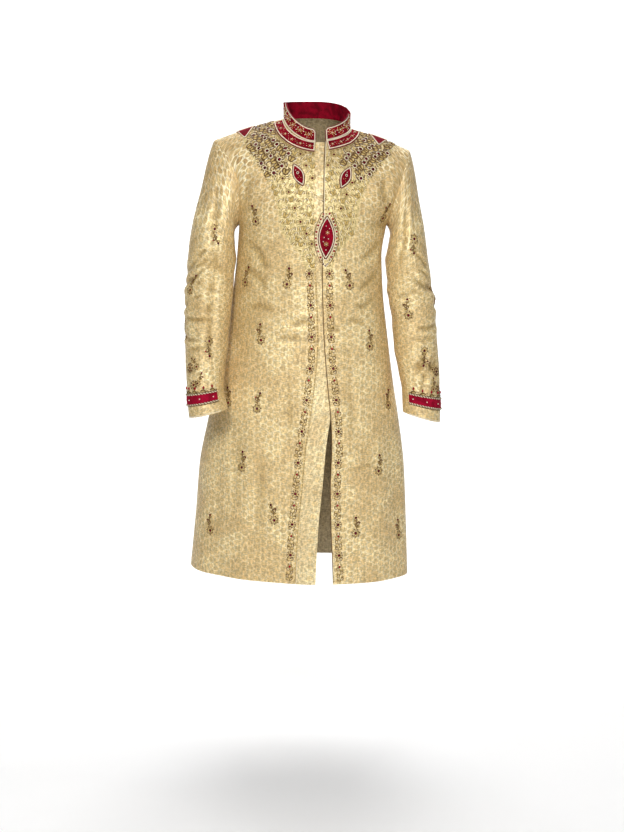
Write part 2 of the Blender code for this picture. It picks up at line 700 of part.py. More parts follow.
def neck_band(name, side):
    """Velvet band on the front, just below the collar seam."""
    edge = abs(inner_edge(side, FRONT, NECK_FRONT))
    first = math.asin((edge + BAND_EDGE_INSET) / NECK_HALF)
    frames = []
    for outset in spread(BAND_INSET, BAND_WIDTH, BAND_ROWS):
        row = []
        for bearing in spread(first, math.radians(BAND_LAST), BAND_COLUMNS):
            base = band_point(side, outset, bearing, 0.5)
            outward = Vector((base.x, base.y, NECK_HALF))
            normal = surface_normal(band_point, (side, outset), bearing, 0.5, outward)
            row.append((lapped(side, base, normal), normal))
        frames.append(row)
    return wall_from_frames(name, frames, VELVET, TRIM_CLOTH, TRIM_GAP)


def patch_width(share):
    """Half width of a pointed patch along its length, as a share of its greatest half width."""
    return max(PATCH_TIP, math.cos(math.pi / 2.0 * abs(2.0 * share - 1.0)) ** PATCH_FULLNESS)


def patch_point(patch, across, along):
    """Point of the front under a patch."""
    lean = math.radians(patch.lean)
    up, out = patch.length * (along - 0.5), patch.width * across
    x = patch.across + math.sin(lean) * up + math.cos(lean) * out
    return front_point(x, patch.height + math.cos(lean) * up - math.sin(lean) * out)


def chest_patch(name, patch):
    """A pointed velvet patch on a front."""
    frames = []
    for along in spread(0.0, 1.0, PATCH_ROWS):
        row = []
        for share in spread(-0.5, 0.5, PATCH_COLUMNS):
            across = share * patch_width(along)
            base = patch_point(patch, across, along)
            normal = surface_normal(patch_point, (patch,), across, along, body_outward(base))
            row.append((lapped(patch.side, base, normal), normal))
        frames.append(row)
    return wall_from_frames(name, frames, VELVET, TRIM_CLOTH, patch.gap)


def shoulder_patch_point(patch, across, along):
    """Point of the front under a shoulder patch."""
    x = patch.side * (patch.across + patch.width * across)
    return yoke_point(x, FRONT, math.radians(patch.first + (patch.last - patch.first) * along))


def shoulder_patch(name, patch):
    """A pointed velvet patch that lies on top of the shoulder, in front of the seam."""
    frames = []
    for along in spread(0.0, 1.0, SHOULDER_PATCH_ROWS):
        row = []
        for share in spread(-0.5, 0.5, PATCH_COLUMNS):
            across = share * max(SHOULDER_PATCH_TIP, along ** SHOULDER_PATCH_FULLNESS)
            base = shoulder_patch_point(patch, across, along)
            outward = Vector((0.0, -NECK_HALF, 1.0))
            row.append((base, surface_normal(shoulder_patch_point, (patch,), across, along, outward)))
        frames.append(row)
    return wall_from_frames(name, frames, VELVET, TRIM_CLOTH, TRIM_GAP)


def main():
    """Make every piece of the coat."""
    for old in list(bpy.data.objects):
        bpy.data.objects.remove(old)
    main_panel("front_right", RIGHT, FRONT)
    main_panel("front_left", LEFT, FRONT)
    main_panel("back_right", RIGHT, BACK)
    main_panel("back_left", LEFT, BACK)
    placket()
    for side, word in ((RIGHT, "right"), (LEFT, "left")):
        sleeve_piece(f"sleeve_upper_{word}", side, HIND_SEAM - 1.0, FORE_SEAM)
        sleeve_piece(f"sleeve_under_{word}", side, FORE_SEAM, HIND_SEAM)
        cuff_band(f"cuff_band_{word}", side)
        neck_band(f"neck_band_{word}", side)
    collar_stand()
    for name, patch in PATCHES.items():
        chest_patch(name, patch)
    for name, patch in SHOULDER_PATCHES.items():
        shoulder_patch(name, patch)


main()
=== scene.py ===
"""Dressing of the sherwani coat: brocade panels, velvet trims and hand embroidery on the coat's frame.

Sizes are in metres.  The coat faces -Y, +X is the wearer's left and the origin is the base of the neck.
Cloth is modelled from the same sizes as the frame's panels, with its folds pressed in, and every stitch,
bead and stone is placed on that folded cloth.
"""

import logging
import math
from dataclasses import dataclass, field
from enum import Enum
from typing import Callable, Iterable, NamedTuple, Optional, Sequence

import bpy
import numpy as np
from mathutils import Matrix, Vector


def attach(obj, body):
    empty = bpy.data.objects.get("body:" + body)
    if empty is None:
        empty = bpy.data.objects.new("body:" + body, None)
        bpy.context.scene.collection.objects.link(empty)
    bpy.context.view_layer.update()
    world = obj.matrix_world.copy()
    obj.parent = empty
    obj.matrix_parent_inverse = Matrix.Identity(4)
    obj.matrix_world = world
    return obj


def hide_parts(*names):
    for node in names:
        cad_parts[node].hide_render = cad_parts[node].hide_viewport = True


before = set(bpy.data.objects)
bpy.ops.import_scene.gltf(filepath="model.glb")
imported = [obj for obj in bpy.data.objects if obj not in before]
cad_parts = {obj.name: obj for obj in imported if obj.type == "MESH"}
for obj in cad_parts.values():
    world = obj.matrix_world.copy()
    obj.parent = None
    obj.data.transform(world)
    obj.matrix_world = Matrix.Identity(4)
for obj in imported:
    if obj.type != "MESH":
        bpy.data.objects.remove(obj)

Array = np.ndarray
Pair = tuple[Array, Array]
log = logging.getLogger("sherwani")

CLOTH = 0.0020            # brocade with its interlining
TRIM_CLOTH = 0.0014       # velvet bands and patches
COLLAR_CLOTH = 0.0026     # stiffened velvet stand
SEAM_GAP = 0.00040        # between two sewn edges
TRIM_GAP = 0.00045        # between a trim and the panel under it
TRIM_TOP = TRIM_GAP + TRIM_CLOTH
HALF_SEAM = SEAM_GAP / 2.0 / 0.250    # as a share of a panel's width
QUARTER = math.pi / 2.0
TURN = 2.0 * math.pi
UP = np.array((0.0, 0.0, 1.0))


class Side(Enum):
    """The wearer's sides, as signs along X."""

    RIGHT = -1
    LEFT = 1

    @property
    def word(self) -> str:
        """The side's name in a piece's name."""
        return self.name.lower()


class Face(Enum):
    """Front and back of the coat, as signs along Y."""

    FRONT = -1
    BACK = 1


# ---------------------------------------------------------------- working things out


def smooth(share: Array) -> Array:
    """Ease a share from 0 to 1."""
    share = np.clip(share, 0.0, 1.0)
    return share * share * (3.0 - 2.0 * share)


def unit(vectors: Array) -> Array:
    """Vectors brought to length 1."""
    return vectors / np.maximum(np.linalg.norm(vectors, axis=-1, keepdims=True), 1e-12)


def turned(vectors: Array, aims: Array) -> Array:
    """Vectors, turned round where they point against their aims."""
    return np.where(np.sum(vectors * aims, axis=-1, keepdims=True) < 0.0, -vectors, vectors)


def stack(x: Array, y: Array, z: Array) -> Array:
    """Points from their three coordinates."""
    return np.stack(np.broadcast_arrays(x, y, z), axis=-1)


def paired(first: Array, second: Array) -> Pair:
    """Two lots of numbers brought to one shape."""
    return np.broadcast_arrays(np.asarray(first, dtype=float), np.asarray(second, dtype=float))


def lengths(points: Array, axis: int = 0) -> Array:
    """Distances from each point to the next."""
    return np.linalg.norm(np.diff(points, axis=axis), axis=-1)


def run_of(points: Array) -> Array:
    """Distance of each point along the line through all of them."""
    return np.concatenate(([0.0], np.cumsum(lengths(points))))


def joined(first: Array, second: Array) -> Array:
    """Two rows of values that share the value where they meet."""
    return np.concatenate((first, second[1:]))


def hermite(start: Array, lead: Array, end: Array, run: Array, t: Array) -> Array:
    """Point of a curve that leaves one point along a vector and arrives at another.

    Args:
        start: Where the curve starts.
        lead: How it leaves there.
        end: Where it ends.
        run: How it arrives there.
        t: How far along it, from 0 to 1.

    Returns:
        The points.
    """
    first = start * (1.0 + 2.0 * t) * (1.0 - t) ** 2 + lead * t * (1.0 - t) ** 2
    return first + end * t * t * (3.0 - 2.0 * t) + run * t * t * (t - 1.0)


def rows_of(kind: Callable, text: str) -> tuple:
    """Named rows from a table, a line for each."""
    return tuple(kind(*map(float, line.split())) for line in text.strip().splitlines())


class Profile:
    """Smooth curves, which never overshoot, through the rows of a table with named columns."""

    def __init__(self, text: str) -> None:
        """Keep the table.

        Args:
            text: The columns' names, then the rows, with the first column rising.
        """
        names, *rows = (line.split() for line in text.strip().splitlines())
        table = np.array(rows, dtype=float)
        self.first = table[:, 0]
        self.columns = dict(zip(names[1:], table[:, 1:].T))
        self.slopes = {name: self._slopes(values) for name, values in self.columns.items()}

    def _slopes(self, values: Array) -> Array:
        """Slopes of one column at its rows.

        Args:
            values: The column's values at its rows.

        Returns:
            The slopes.
        """
        steps = np.diff(values) / np.diff(self.first)
        before, after = steps[:-1], steps[1:]
        total = np.where(before + after == 0.0, 1.0, before + after)
        middle = np.where(before * after > 0.0, 2.0 * before * after / total, 0.0)
        return np.concatenate((steps[:1], middle, steps[-1:]))

    def read(self, name: str, value: Array) -> Array:
        """Read one column at values of the first.

        Args:
            name: The column's name.
            value: Values of the first column.

        Returns:
            The column's values there.
        """
        value = np.clip(value, self.first[0], self.first[-1])
        at = np.clip(np.searchsorted(self.first, value, side="right") - 1, 0, len(self.first) - 2)
        width = self.first[at + 1] - self.first[at]
        heights, slopes = self.columns[name], self.slopes[name]
        share = (value - self.first[at]) / width
        return hermite(heights[at], slopes[at] * width, heights[at + 1], slopes[at + 1] * width, share)


# ---------------------------------------------------------------- the coat's form

BODY = Profile("""
    height middle right left  front back  turn
    -1.080 -.022  .284  .238  .166  .176  -.012
    -.920  -.018  .272  .229  .160  .170  -.011
    -.800  -.015  .265  .221  .156  .166  -.010
    -.700  -.011  .249  .205  .150  .160  -.010
    -.600  -.008  .230  .187  .143  .151  -.010
    -.490  -.004  .209  .169  .133  .138  -.012
    -.390  -.002  .196  .156  .126  .124  -.015
    -.310  0      .188  .151  .128  .122  -.012
    -.240  0      .182  .162  .130  .124  0
""")
CLOSURE = Profile("""
    height  lap    sewn
    -1.080  .0370  -.0495
    -1.000  .0344  -.0461
    -.920   .0312  -.0414
    -.840   .0298  -.0333
    -.740   .0328  -.0241
    -.680   .0306  -.0150
    -.610   .0240  -.0057
    -.500   .0156  .0031
    -.390   .0119  -.0002
    -.330   .0112  -.0035
    -.250   .0125  -.0068
    -.150   .0148  -.0070
    -.040   .0200  -.0016
""")
ARMHOLE = Profile("""
    climb right_front left_front right_back left_back
    0     .182  .162  .182  .162
    .20   .179  .173  .186  .178
    .45   .181  .187  .194  .191
    .70   .199  .200  .209  .204
    1     .238  .214  .238  .214
""")
ARMS = {
    Side.RIGHT: Profile("""
    share outer  outer_height inner inner_height middle depth
    0     .2990  -.290  .1890  -.318  -.012  .070
    .18   .3055  -.360  .1950  -.382  -.024  .066
    .36   .3075  -.430  .2010  -.445  -.044  .062
    .54   .3055  -.505  .2060  -.508  -.068  .057
    .72   .3020  -.570  .2120  -.563  -.094  .052
    .86   .2980  -.626  .2135  -.612  -.118  .048
    1     .2925  -.675  .2030  -.655  -.136  .046
"""),
    Side.LEFT: Profile("""
    share outer  outer_height inner inner_height middle depth
    0     .2570  -.295  .1600  -.320  -.004  .068
    .18   .2680  -.365  .1640  -.385  -.008  .065
    .36   .2785  -.440  .1750  -.450  -.014  .061
    .54   .2830  -.515  .1800  -.515  -.024  .056
    .72   .2870  -.590  .1915  -.580  -.040  .051
    .86   .2880  -.642  .1985  -.624  -.054  .048
    1     .2870  -.694  .2000  -.670  -.066  .046
"""),
}


class Ridge(NamedTuple):
    """The shoulder line of a side, from the neck point to the shoulder point."""

    neck: float
    point: float
    tip: float


class Flute(NamedTuple):
    """A soft flute of the skirt, at a bearing from the centre front towards the left side."""

    bearing: float
    width: float
    top: float
    depth: float


RIDGES = {Side.RIGHT: Ridge(0.006, 0.238, -0.043), Side.LEFT: Ridge(-0.016, 0.214, -0.066)}
FLUTES = rows_of(Flute, """
    -152 15 -.42 .008
    -112 14 -.50 .007
    -62  11 -.60 .005
    -34  9  -.66 .004
    42   10 -.58 .004
    74   11 -.50 .005
    118  14 -.46 .007
    157  14 -.40 .008
""")


@dataclass(frozen=True)
class CoatForm:
    """The worn form of the coat: where each place of its panels lies."""

    hem: float = -1.060
    hem_rise: float = 0.011
    hem_rise_top: float = -0.800
    hem_rise_run: float = 0.250
    armpit: float = -0.240
    neck_half: float = 0.078
    neck_front: float = -0.053
    neck_back: float = 0.012
    ridge_crown: float = 0.003
    ridge_set_back: float = 0.010
    roof_front: float = 0.005
    roof_back: float = 0.032
    lap_rise: float = 0.0031
    lap_reach: float = 0.034
    lap_fade: float = 0.024
    lap_end: float = -0.790
    lap_end_run: float = 0.070
    armhole_depth: float = 0.62
    armhole_round: float = 50.0
    blade_round: float = 0.85
    neck_share: float = 0.36
    yoke_climb: float = 0.270

    def ridge(self, x: Array) -> Array:
        """Height of the shoulder line above points across the body.

        Args:
            x: Places across the body.

        Returns:
            Heights of the ridge.
        """
        neck, point, tip = (np.where(x > 0.0, *both) for both in zip(RIDGES[Side.LEFT], RIDGES[Side.RIGHT]))
        share = (np.abs(x) - self.neck_half) / (point - self.neck_half)
        return neck + (tip - neck) * share + self.ridge_crown * np.sin(math.pi * np.clip(share, 0.0, 1.0))

    def roof(self, x: Array, face: Face) -> Array:
        """The ridge, carried on smoothly across the neck hole.

        Args:
            x: Places across the body.
            face: Front or back.

        Returns:
            Heights of the ridge, and of the line that bridges the neck.
        """
        neck = np.where(x > 0.0, RIDGES[Side.LEFT].neck, RIDGES[Side.RIGHT].neck)
        middle = self.roof_front if face is Face.FRONT else self.roof_back
        across = middle + (neck - middle) * (x / self.neck_half) ** 2
        return np.where(np.abs(x) >= self.neck_half, self.ridge(x), across)

    def neckline(self, x: Array, face: Face, outset: float | Array = 0.0) -> Array:
        """Height of the neckline, or of a line set out from it, above points across the body.

        Args:
            x: Places across the body.
            face: Front or back.
            outset: How far the line is set out from the neckline.

        Returns:
            Heights of the line.
        """
        middle = (self.neck_front if face is Face.FRONT else self.neck_back) - outset
        end = self.ridge(np.where(x > 0.0, 1.0, -1.0) * (self.neck_half + outset))
        share = np.minimum(1.0, np.abs(x) / (self.neck_half + outset))
        return middle + (end - middle) * (1.0 - np.sqrt(1.0 - share * share))

    def climb(self, x: Array, height: Array, face: Face) -> Array:
        """Angle of the climb from the armpit level, 0, to the ridge, a quarter turn."""
        share = (height - self.armpit) / (self.roof(x, face) - self.armpit)
        return np.arcsin(np.clip(share, 0.0, 1.0))

    def armhole(self, side: Side, face: Face, angle: Array) -> Array:
        """Distance of the armhole seam from the middle plane, at an angle of the climb."""
        return ARMHOLE.read(f"{side.word}_{face.name.lower()}", np.sin(angle))

    def yoke(self, x: Array, face: Face, angle: Array) -> Array:
        """Points of the body above the armpits, across it and at an angle of the climb.

        Args:
            x: Places across the body.
            face: Front or back.
            angle: Angles of the climb.

        Returns:
            The points, before the lap and the folds.
        """
        middle = BODY.read("middle", self.armpit)
        left = x > middle
        sign = np.where(left, 1.0, -1.0)
        seam = np.where(left, self.armhole(Side.LEFT, face, angle), self.armhole(Side.RIGHT, face, angle))
        rounding = np.minimum(1.0, np.degrees(angle) / self.armhole_round)
        rim = self.armhole_depth * np.sqrt(np.maximum(0.0, 1.0 - (1.0 - rounding) ** 2))
        reach = (seam - sign * middle) / np.sqrt(1.0 - rim * rim)
        share = np.minimum(1.0, np.abs(x - middle) / reach)
        power = 1.0 if face is Face.FRONT else self.blade_round
        depth = BODY.read(face.name.lower(), self.armpit) * np.maximum(0.0, np.cos(angle)) ** power
        y = self.ridge_set_back * np.sin(angle) ** 2 + face.value * depth * np.sqrt(1.0 - share * share)
        return stack(x, y, self.armpit + (self.roof(x, face) - self.armpit) * np.sin(angle))

    def flutes(self, bearing: Array, height: Array) -> Array:
        """How far the skirt's flutes stand out at bearings and heights.

        Args:
            bearing: Bearings round the body, in degrees.
            height: Heights of the places.

        Returns:
            How far the points move out.
        """
        total = np.zeros(np.broadcast(bearing, height).shape)
        for flute in FLUTES:
            offset = (bearing - flute.bearing + 180.0) % 360.0 - 180.0
            growth = smooth((flute.top - height) / (flute.top - self.hem))
            total = total + flute.depth * growth * np.exp(-((offset / flute.width) ** 2))
        return total

    def half(self, x: Array, height: Array) -> Pair:
        """The body's middle at heights, and its half width on the side where the points lie."""
        middle = BODY.read("middle", height)
        return middle, np.where(x > middle, BODY.read("left", height), BODY.read("right", height))

    def skirt(self, x: Array, face: Face, height: Array) -> Array:
        """Points of the body below the armpits, across it and at a height.

        Args:
            x: Places across the body.
            face: Front or back.
            height: Heights of the places.

        Returns:
            The points, before the lap and the folds.
        """
        x, height = np.broadcast_arrays(x, height)
        middle, half = self.half(x, height)
        share = np.clip((x - middle) / half, -1.0, 1.0)
        depth = BODY.read(face.name.lower(), height)
        rest = np.sqrt(1.0 - share * share)
        y = BODY.read("turn", height) * share + face.value * depth * rest
        bearing = np.degrees(np.arcsin(share))
        if face is Face.BACK:
            bearing = 180.0 - bearing
        outward = unit(stack(share / half, face.value * rest / depth, 0.0))
        growth = smooth((self.hem_rise_top - height) / self.hem_rise_run)
        lift = self.hem_rise * np.maximum(0.0, -share) * growth
        return stack(x, y, height + lift) + outward * self.flutes(bearing, height)[..., None]

    def level(self, x: Array, height: Array) -> Array:
        """The level of a place on the front given by its height; it goes on evenly up to the ridge."""
        angle = self.climb(x, height, Face.FRONT)
        return np.where(height <= self.armpit, height, self.armpit + angle / QUARTER * self.yoke_climb)

    def front(self, x: Array, level: Array) -> Array:
        """Points of the front, across and at a level.

        Args:
            x: Places across the body.
            level: Levels of the places.

        Returns:
            The points, before the lap and the folds.
        """
        x, level = paired(x, level)
        angle = np.clip((level - self.armpit) / self.yoke_climb, 0.0, 1.0) * QUARTER
        low = self.skirt(x, Face.FRONT, np.minimum(level, self.armpit))
        return np.where((level <= self.armpit)[..., None], low, self.yoke(x, Face.FRONT, angle))

    def closure(self, side: Side, height: Array) -> Array:
        """Where a front ends at the closure: the lap's edge, or the placket's seam."""
        return CLOSURE.read("lap" if side is Side.LEFT else "sewn", height)

    def inner_edge(self, side: Side, face: Face, height: Array) -> Array:
        """Where a main panel starts: at the closure or at the centre back seam.

        Args:
            side: The wearer's side.
            face: Front or back.
            height: Heights of the places.

        Returns:
            Places of the edge across the body.
        """
        if face is Face.BACK:
            return side.value * SEAM_GAP / 2.0 + 0.0 * height
        return self.closure(side, height) - (SEAM_GAP if side is Side.RIGHT else 0.0)

    def lap_lift(self, x: Array, height: Array) -> Array:
        """How far the left front rides out over the placket."""
        fade = 1.0 - smooth((x - self.closure(Side.LEFT, height) - self.lap_reach) / self.lap_fade)
        return self.lap_rise * fade * smooth((height - self.lap_end) / self.lap_end_run)

    def _bearings(self, side: Side, face: Face, height: Array, across: Array) -> Array:
        """Bearings round the body from a main panel's inner edge (0) to the side seam (1).

        Args:
            side: The wearer's side.
            face: Front or back.
            height: Heights of the places.
            across: From the inner edge (0) to the side seam or armhole (1).

        Returns:
            Angles from the centre, towards the side seam.
        """
        offset = self.inner_edge(side, face, height) - BODY.read("middle", height)
        start = np.arcsin(side.value * offset / BODY.read(side.word, height))
        return start + (QUARTER - start) * across

    def panel(self, side: Side, face: Face, across: Array, up: Array) -> Array:
        """Points of a main panel.

        Args:
            side: The wearer's side.
            face: Front or back.
            across: From the inner edge (0) to the side seam or armhole (1).
            up: From the hem (0) over the armpit (1) to the top edge (2).

        Returns:
            The points, before the lap and the folds.
        """
        across, up = paired(across, up)
        height = self.hem + (self.armpit - self.hem) * np.minimum(up, 1.0)
        sine = np.sin(self._bearings(side, face, height, across))
        x = BODY.read("middle", height) + side.value * BODY.read(side.word, height) * sine
        low = self.skirt(x, face, height)
        high = self._panel_top(side, face, across, np.maximum(up, 1.0) - 1.0)
        return np.where((up <= 1.0)[..., None], low, high)

    def _panel_top(self, side: Side, face: Face, across: Array, rise: Array) -> Array:
        """Points of a main panel from the armpit (0) to its top edge (1).

        Args:
            side: The wearer's side.
            face: Front or back.
            across: From the inner edge (0) to the side seam or armhole (1).
            rise: From the armpit (0) to the top edge (1).

        Returns:
            The points, before the lap and the folds.
        """
        sign = side.value
        top = self.neck_front if face is Face.FRONT else self.neck_back
        top_start = sign * self.inner_edge(side, face, top)
        tip = self.armhole(side, face, QUARTER)
        turn = np.sin(QUARTER * np.minimum(1.0, across / self.neck_share))
        neck_x = top_start + (self.neck_half - top_start) * turn
        past_neck = (tip - self.neck_half) * (across - self.neck_share) / (1.0 - self.neck_share)
        beyond = self.neck_half + past_neck
        at_neck = across < self.neck_share
        neck_angle = self.climb(sign * neck_x, self.neckline(sign * neck_x, face), face)
        angle = np.where(at_neck, neck_angle, QUARTER) * rise
        top_share = (np.where(at_neck, neck_x, beyond) - top_start) / (tip - top_start)
        low_start = np.sin(self._bearings(side, face, self.armpit, 0.0))
        low_end = np.sin(self._bearings(side, face, self.armpit, across))
        low_share = (low_end - low_start) / (1.0 - low_start)
        height = self.armpit + (self.roof(0.0, face) - self.armpit) * np.sin(angle)
        edge = sign * self.inner_edge(side, face, height)
        share = low_share + (top_share - low_share) * smooth(rise)
        x = sign * (edge + (self.armhole(side, face, angle) - edge) * share)
        return self.yoke(x, face, angle)


FORM = CoatForm()


# ---------------------------------------------------------------- folds pressed into the cloth


class Fold(NamedTuple):
    """A crease from one place to another, with the cloth standing up beside it.

    Places are across and up in metres on the body, and round and along in metres on a sleeve.
    """

    start_across: float
    start_up: float
    end_across: float
    end_up: float
    width: float
    depth: float


class Ripple(NamedTuple):
    """A slow wave of the cloth's surface."""

    across: float
    up: float
    phase: float
    height: float


class Crease(NamedTuple):
    """A broad crease round a sleeve: its place in shares along and turns round, its size and its slant."""

    along: float
    round: float
    reach: float
    width: float
    depth: float
    slant: float


FRONT_FOLDS = rows_of(Fold, """
    -.074 -.470 -.004 -.455 .0075 .0026
    -.100 -.492 -.030 -.500 .0090 .0016
    .022  -.474 .060  -.482 .0070 .0020
    .060  -.452 .120  -.466 .0085 .0022
    .034  -.800 .200  -.776 .0060 .0012
    -.168 -.262 -.108 -.348 .0100 .0032
    -.176 -.330 -.104 -.392 .0110 .0026
    -.166 -.420 -.090 -.436 .0100 .0020
    .150  -.262 .098  -.330 .0100 .0030
    .146  -.340 .090  -.392 .0100 .0026
    .138  -.410 .080  -.424 .0100 .0020
    -.172 -.205 -.152 -.118 .0110 .0034
    .166  -.205 .150  -.120 .0110 .0030
    -.176 -.600 -.206 -.960 .0170 .0018
    -.120 -.700 -.146 -1.020 .0160 .0014
    -.222 -.700 -.246 -1.010 .0150 .0018
    .112  -.640 .130  -.980 .0170 .0014
    .160  -.660 .186  -.990 .0160 .0018
    -.060 -.560 -.074 -.760 .0130 .0014
    .066  -.560 .078  -.740 .0130 .0014
""")
BACK_FOLDS = rows_of(Fold, """
    -.150 -.270 -.060 -.210 .0130 .0034
    .140  -.270 .056  -.214 .0130 .0034
    -.140 -.440 -.030 -.476 .0120 .0026
    .124  -.440 .020  -.482 .0120 .0026
    -.110 -.490 .080  -.510 .0120 .0018
    -.160 -.620 -.196 -.990 .0180 .0020
    -.070 -.650 -.092 -1.000 .0180 .0016
    .068  -.650 .088  -1.000 .0180 .0016
    .138  -.620 .170  -.980 .0180 .0020
""")
SLEEVE_FOLDS = {
    Side.RIGHT: rows_of(Fold, """
    -.020 .205 .120  .140 .0085 .0040
    -.030 .245 .070  .185 .0070 .0030
    .010  .300 .118  .292 .0065 .0030
    -.010 .335 .074  .348 .0060 .0034
    .030  .368 .110  .350 .0060 .0024
    -.016 .285 .040  .262 .0055 .0028
    .072  .030 .112  .190 .0100 .0034
    .104  .120 .098  .420 .0110 .0036
    -.060 .180 -.020 .300 .0100 .0030
    .000  .430 .070  .412 .0070 .0018
    .024  .192 .092  .108 .0042 .0026
    .036  .220 .100  .146 .0042 .0024
    .034  .164 .074  .126 .0040 .0020
    .046  .252 .086  .234 .0038 .0022
    .030  .300 .100  .292 .0038 .0018
    -.110 .190 -.060 .240 .0110 .0030
    -.130 .330 -.066 .310 .0100 .0030
"""),
    Side.LEFT: rows_of(Fold, """
    -.010 .240 .110  .180 .0080 .0036
    -.010 .300 .116  .318 .0070 .0030
    .020  .330 .104  .336 .0065 .0024
    .090  .040 .110  .180 .0095 .0038
    .060  .350 .104  .430 .0080 .0038
    -.030 .270 .030  .262 .0065 .0024
    .020  .382 .072  .404 .0065 .0022
    .070  .400 .094  .480 .0075 .0030
    .070  .134 .026  .182 .0038 .0024
    .062  .174 .024  .212 .0038 .0022
    .110  .320 .040  .331 .0040 .0028
    .098  .380 .068  .430 .0050 .0030
    .080  .196 .034  .236 .0036 .0018
    -.060 .180 -.024 .330 .0100 .0028
    -.120 .200 -.060 .236 .0110 .0030
    -.128 .330 -.060 .318 .0100 .0030
"""),
}
SLEEVE_CREASES = {
    Side.RIGHT: rows_of(Crease, """
    .16 .22 .20 .030 .0040 .16
    .30 .30 .17 .024 .0045 .14
    .40 .20 .18 .022 .0045 .05
    .50 .26 .16 .020 .0035 -.04
    .36 .72 .18 .026 .0045 -.08
    .62 .74 .16 .026 .0035 .06
"""),
    Side.LEFT: rows_of(Crease, """
    .17 .24 .20 .030 .0035 .15
    .34 .28 .18 .022 .0040 .08
    .43 .24 .20 .020 .0050 .03
    .56 .32 .16 .024 .0035 -.10
    .38 .72 .18 .026 .0045 .08
    .64 .74 .16 .026 .0035 -.06
"""),
}
RIPPLES = rows_of(Ripple, """
    58  21  .4  .00030
    -33 47  1.9 .00034
    91  -38 3.1 .00016
    24  83  5.2 .00020
    -71 104 .9  .00012
    19  -13 2.6 .00060
""")
FULLNESS = 1.4            # how far the folds are pressed, as a share of their depths
STAND, FAR_STAND = 0.6, 0.15   # how high the cloth stands beside a fold, on either side
FOLD_OFFSET = 1.9         # where it stands, in fold widths
TAPER = 0.35              # share of a fold's length over which it dies out
SWAY, SWAY_TURNS, SWAY_SHIFT = 0.35, 5.0, 900.0


def bell(offset: Array) -> Array:
    """A soft bump, 1 in the middle."""
    return np.exp(-(offset**2))


def press(folds: Iterable[Fold], across: Array, up: Array) -> Array:
    """How far the cloth moves out for its folds and ripples.

    Args:
        folds: The folds of this cloth.
        across: Places on it, across or round.
        up: Places on it, up or along.

    Returns:
        The distances, below 0 in a crease.
    """
    total = np.zeros(np.broadcast(across, up).shape)
    for fold in folds:
        run = (fold.end_across - fold.start_across, fold.end_up - fold.start_up)
        length = math.hypot(*run)
        run = (run[0] / length, run[1] / length)
        along = ((across - fold.start_across) * run[0] + (up - fold.start_up) * run[1]) / length
        off = ((up - fold.start_up) * run[0] - (across - fold.start_across) * run[1]) / fold.width
        off = off + SWAY * np.sin(along * SWAY_TURNS + fold.depth * SWAY_SHIFT)
        ends = smooth(along / TAPER) * smooth((1.0 - along) / TAPER)
        stand = STAND * bell(off - FOLD_OFFSET) + FAR_STAND * bell(off + FOLD_OFFSET)
        total = total + FULLNESS * fold.depth * ends * (stand - bell(off))
    for ripple in RIPPLES:
        total = total + ripple.height * np.sin(ripple.across * across + ripple.up * up + ripple.phase)
    return total


# ---------------------------------------------------------------- surfaces of the cloth


class Surface:
    """A cloth's outer surface over two numbers, u and v."""

    step = 1e-4

    def base(self, u: Array, v: Array) -> Array:
        """Points before the folds."""
        raise NotImplementedError

    def outward(self, points: Array) -> Array:
        """Directions that lead out of the coat near the points."""
        raise NotImplementedError

    def relief(self, u: Array, v: Array, points: Array) -> Array:
        """How far the folds move the points out."""
        return np.zeros(points.shape[:-1])

    def normals(self, u: Array, v: Array) -> Array:
        """Outward normals before the folds.

        Args:
            u: Places across or round the cloth.
            v: Places up or along the cloth.

        Returns:
            The normals.
        """
        beside = self.base(u + self.step, v) - self.base(u - self.step, v)
        above = self.base(u, v + self.step) - self.base(u, v - self.step)
        return turned(unit(np.cross(beside, above)), self.outward(self.base(u, v)))

    def skin(self, u: Array, v: Array, lift: float = 0.0) -> Pair:
        """Folded points, moved out by a lift, and their outward directions."""
        points, normals = self.base(u, v), self.normals(u, v)
        return points + normals * (self.relief(u, v, points) + lift)[..., None], normals


class BodySurface(Surface):
    """What the body's surfaces share."""

    rise, rise_start = 0.25, -0.2
    seam_fade = 0.10
    neck_fade, neck_run = -0.010, 0.05

    def __init__(self, side: Side) -> None:
        """Keep the side."""
        self.side = side

    def outward(self, points: Array) -> Array:
        """Directions out of the trunk, and upward near the shoulders."""
        up = self.rise * np.maximum(0.0, points[..., 2] - self.rise_start)
        return stack(points[..., 0], points[..., 1], up)

    def front_relief(self, points: Array) -> Array:
        """How far a front stands out: its folds, which die out at its edges, and the lap of the left one.

        Args:
            points: Points of the cloth.

        Returns:
            How far the points move out.
        """
        x, height = points[..., 0], points[..., 2]
        middle, low = FORM.half(x, height)
        below = height < FORM.armpit
        seam = FORM.armhole(self.side, Face.FRONT, FORM.climb(x, height, Face.FRONT))
        half = np.where(below, low, seam)
        inside = (half - np.abs(x - np.where(below, middle, 0.0))) / half
        fade = smooth(inside / self.seam_fade) * smooth((self.neck_fade - height) / self.neck_run)
        folds = press(FRONT_FOLDS, x, height) * fade
        return folds + FORM.lap_lift(x, height) if self.side is Side.LEFT else folds


class FrontSurface(BodySurface):
    """The front of one side, across and at a level."""

    def base(self, u: Array, v: Array) -> Array:
        """Points before the folds."""
        return FORM.front(u, v)

    def relief(self, u: Array, v: Array, points: Array) -> Array:
        """The folds of the front."""
        return self.front_relief(points)


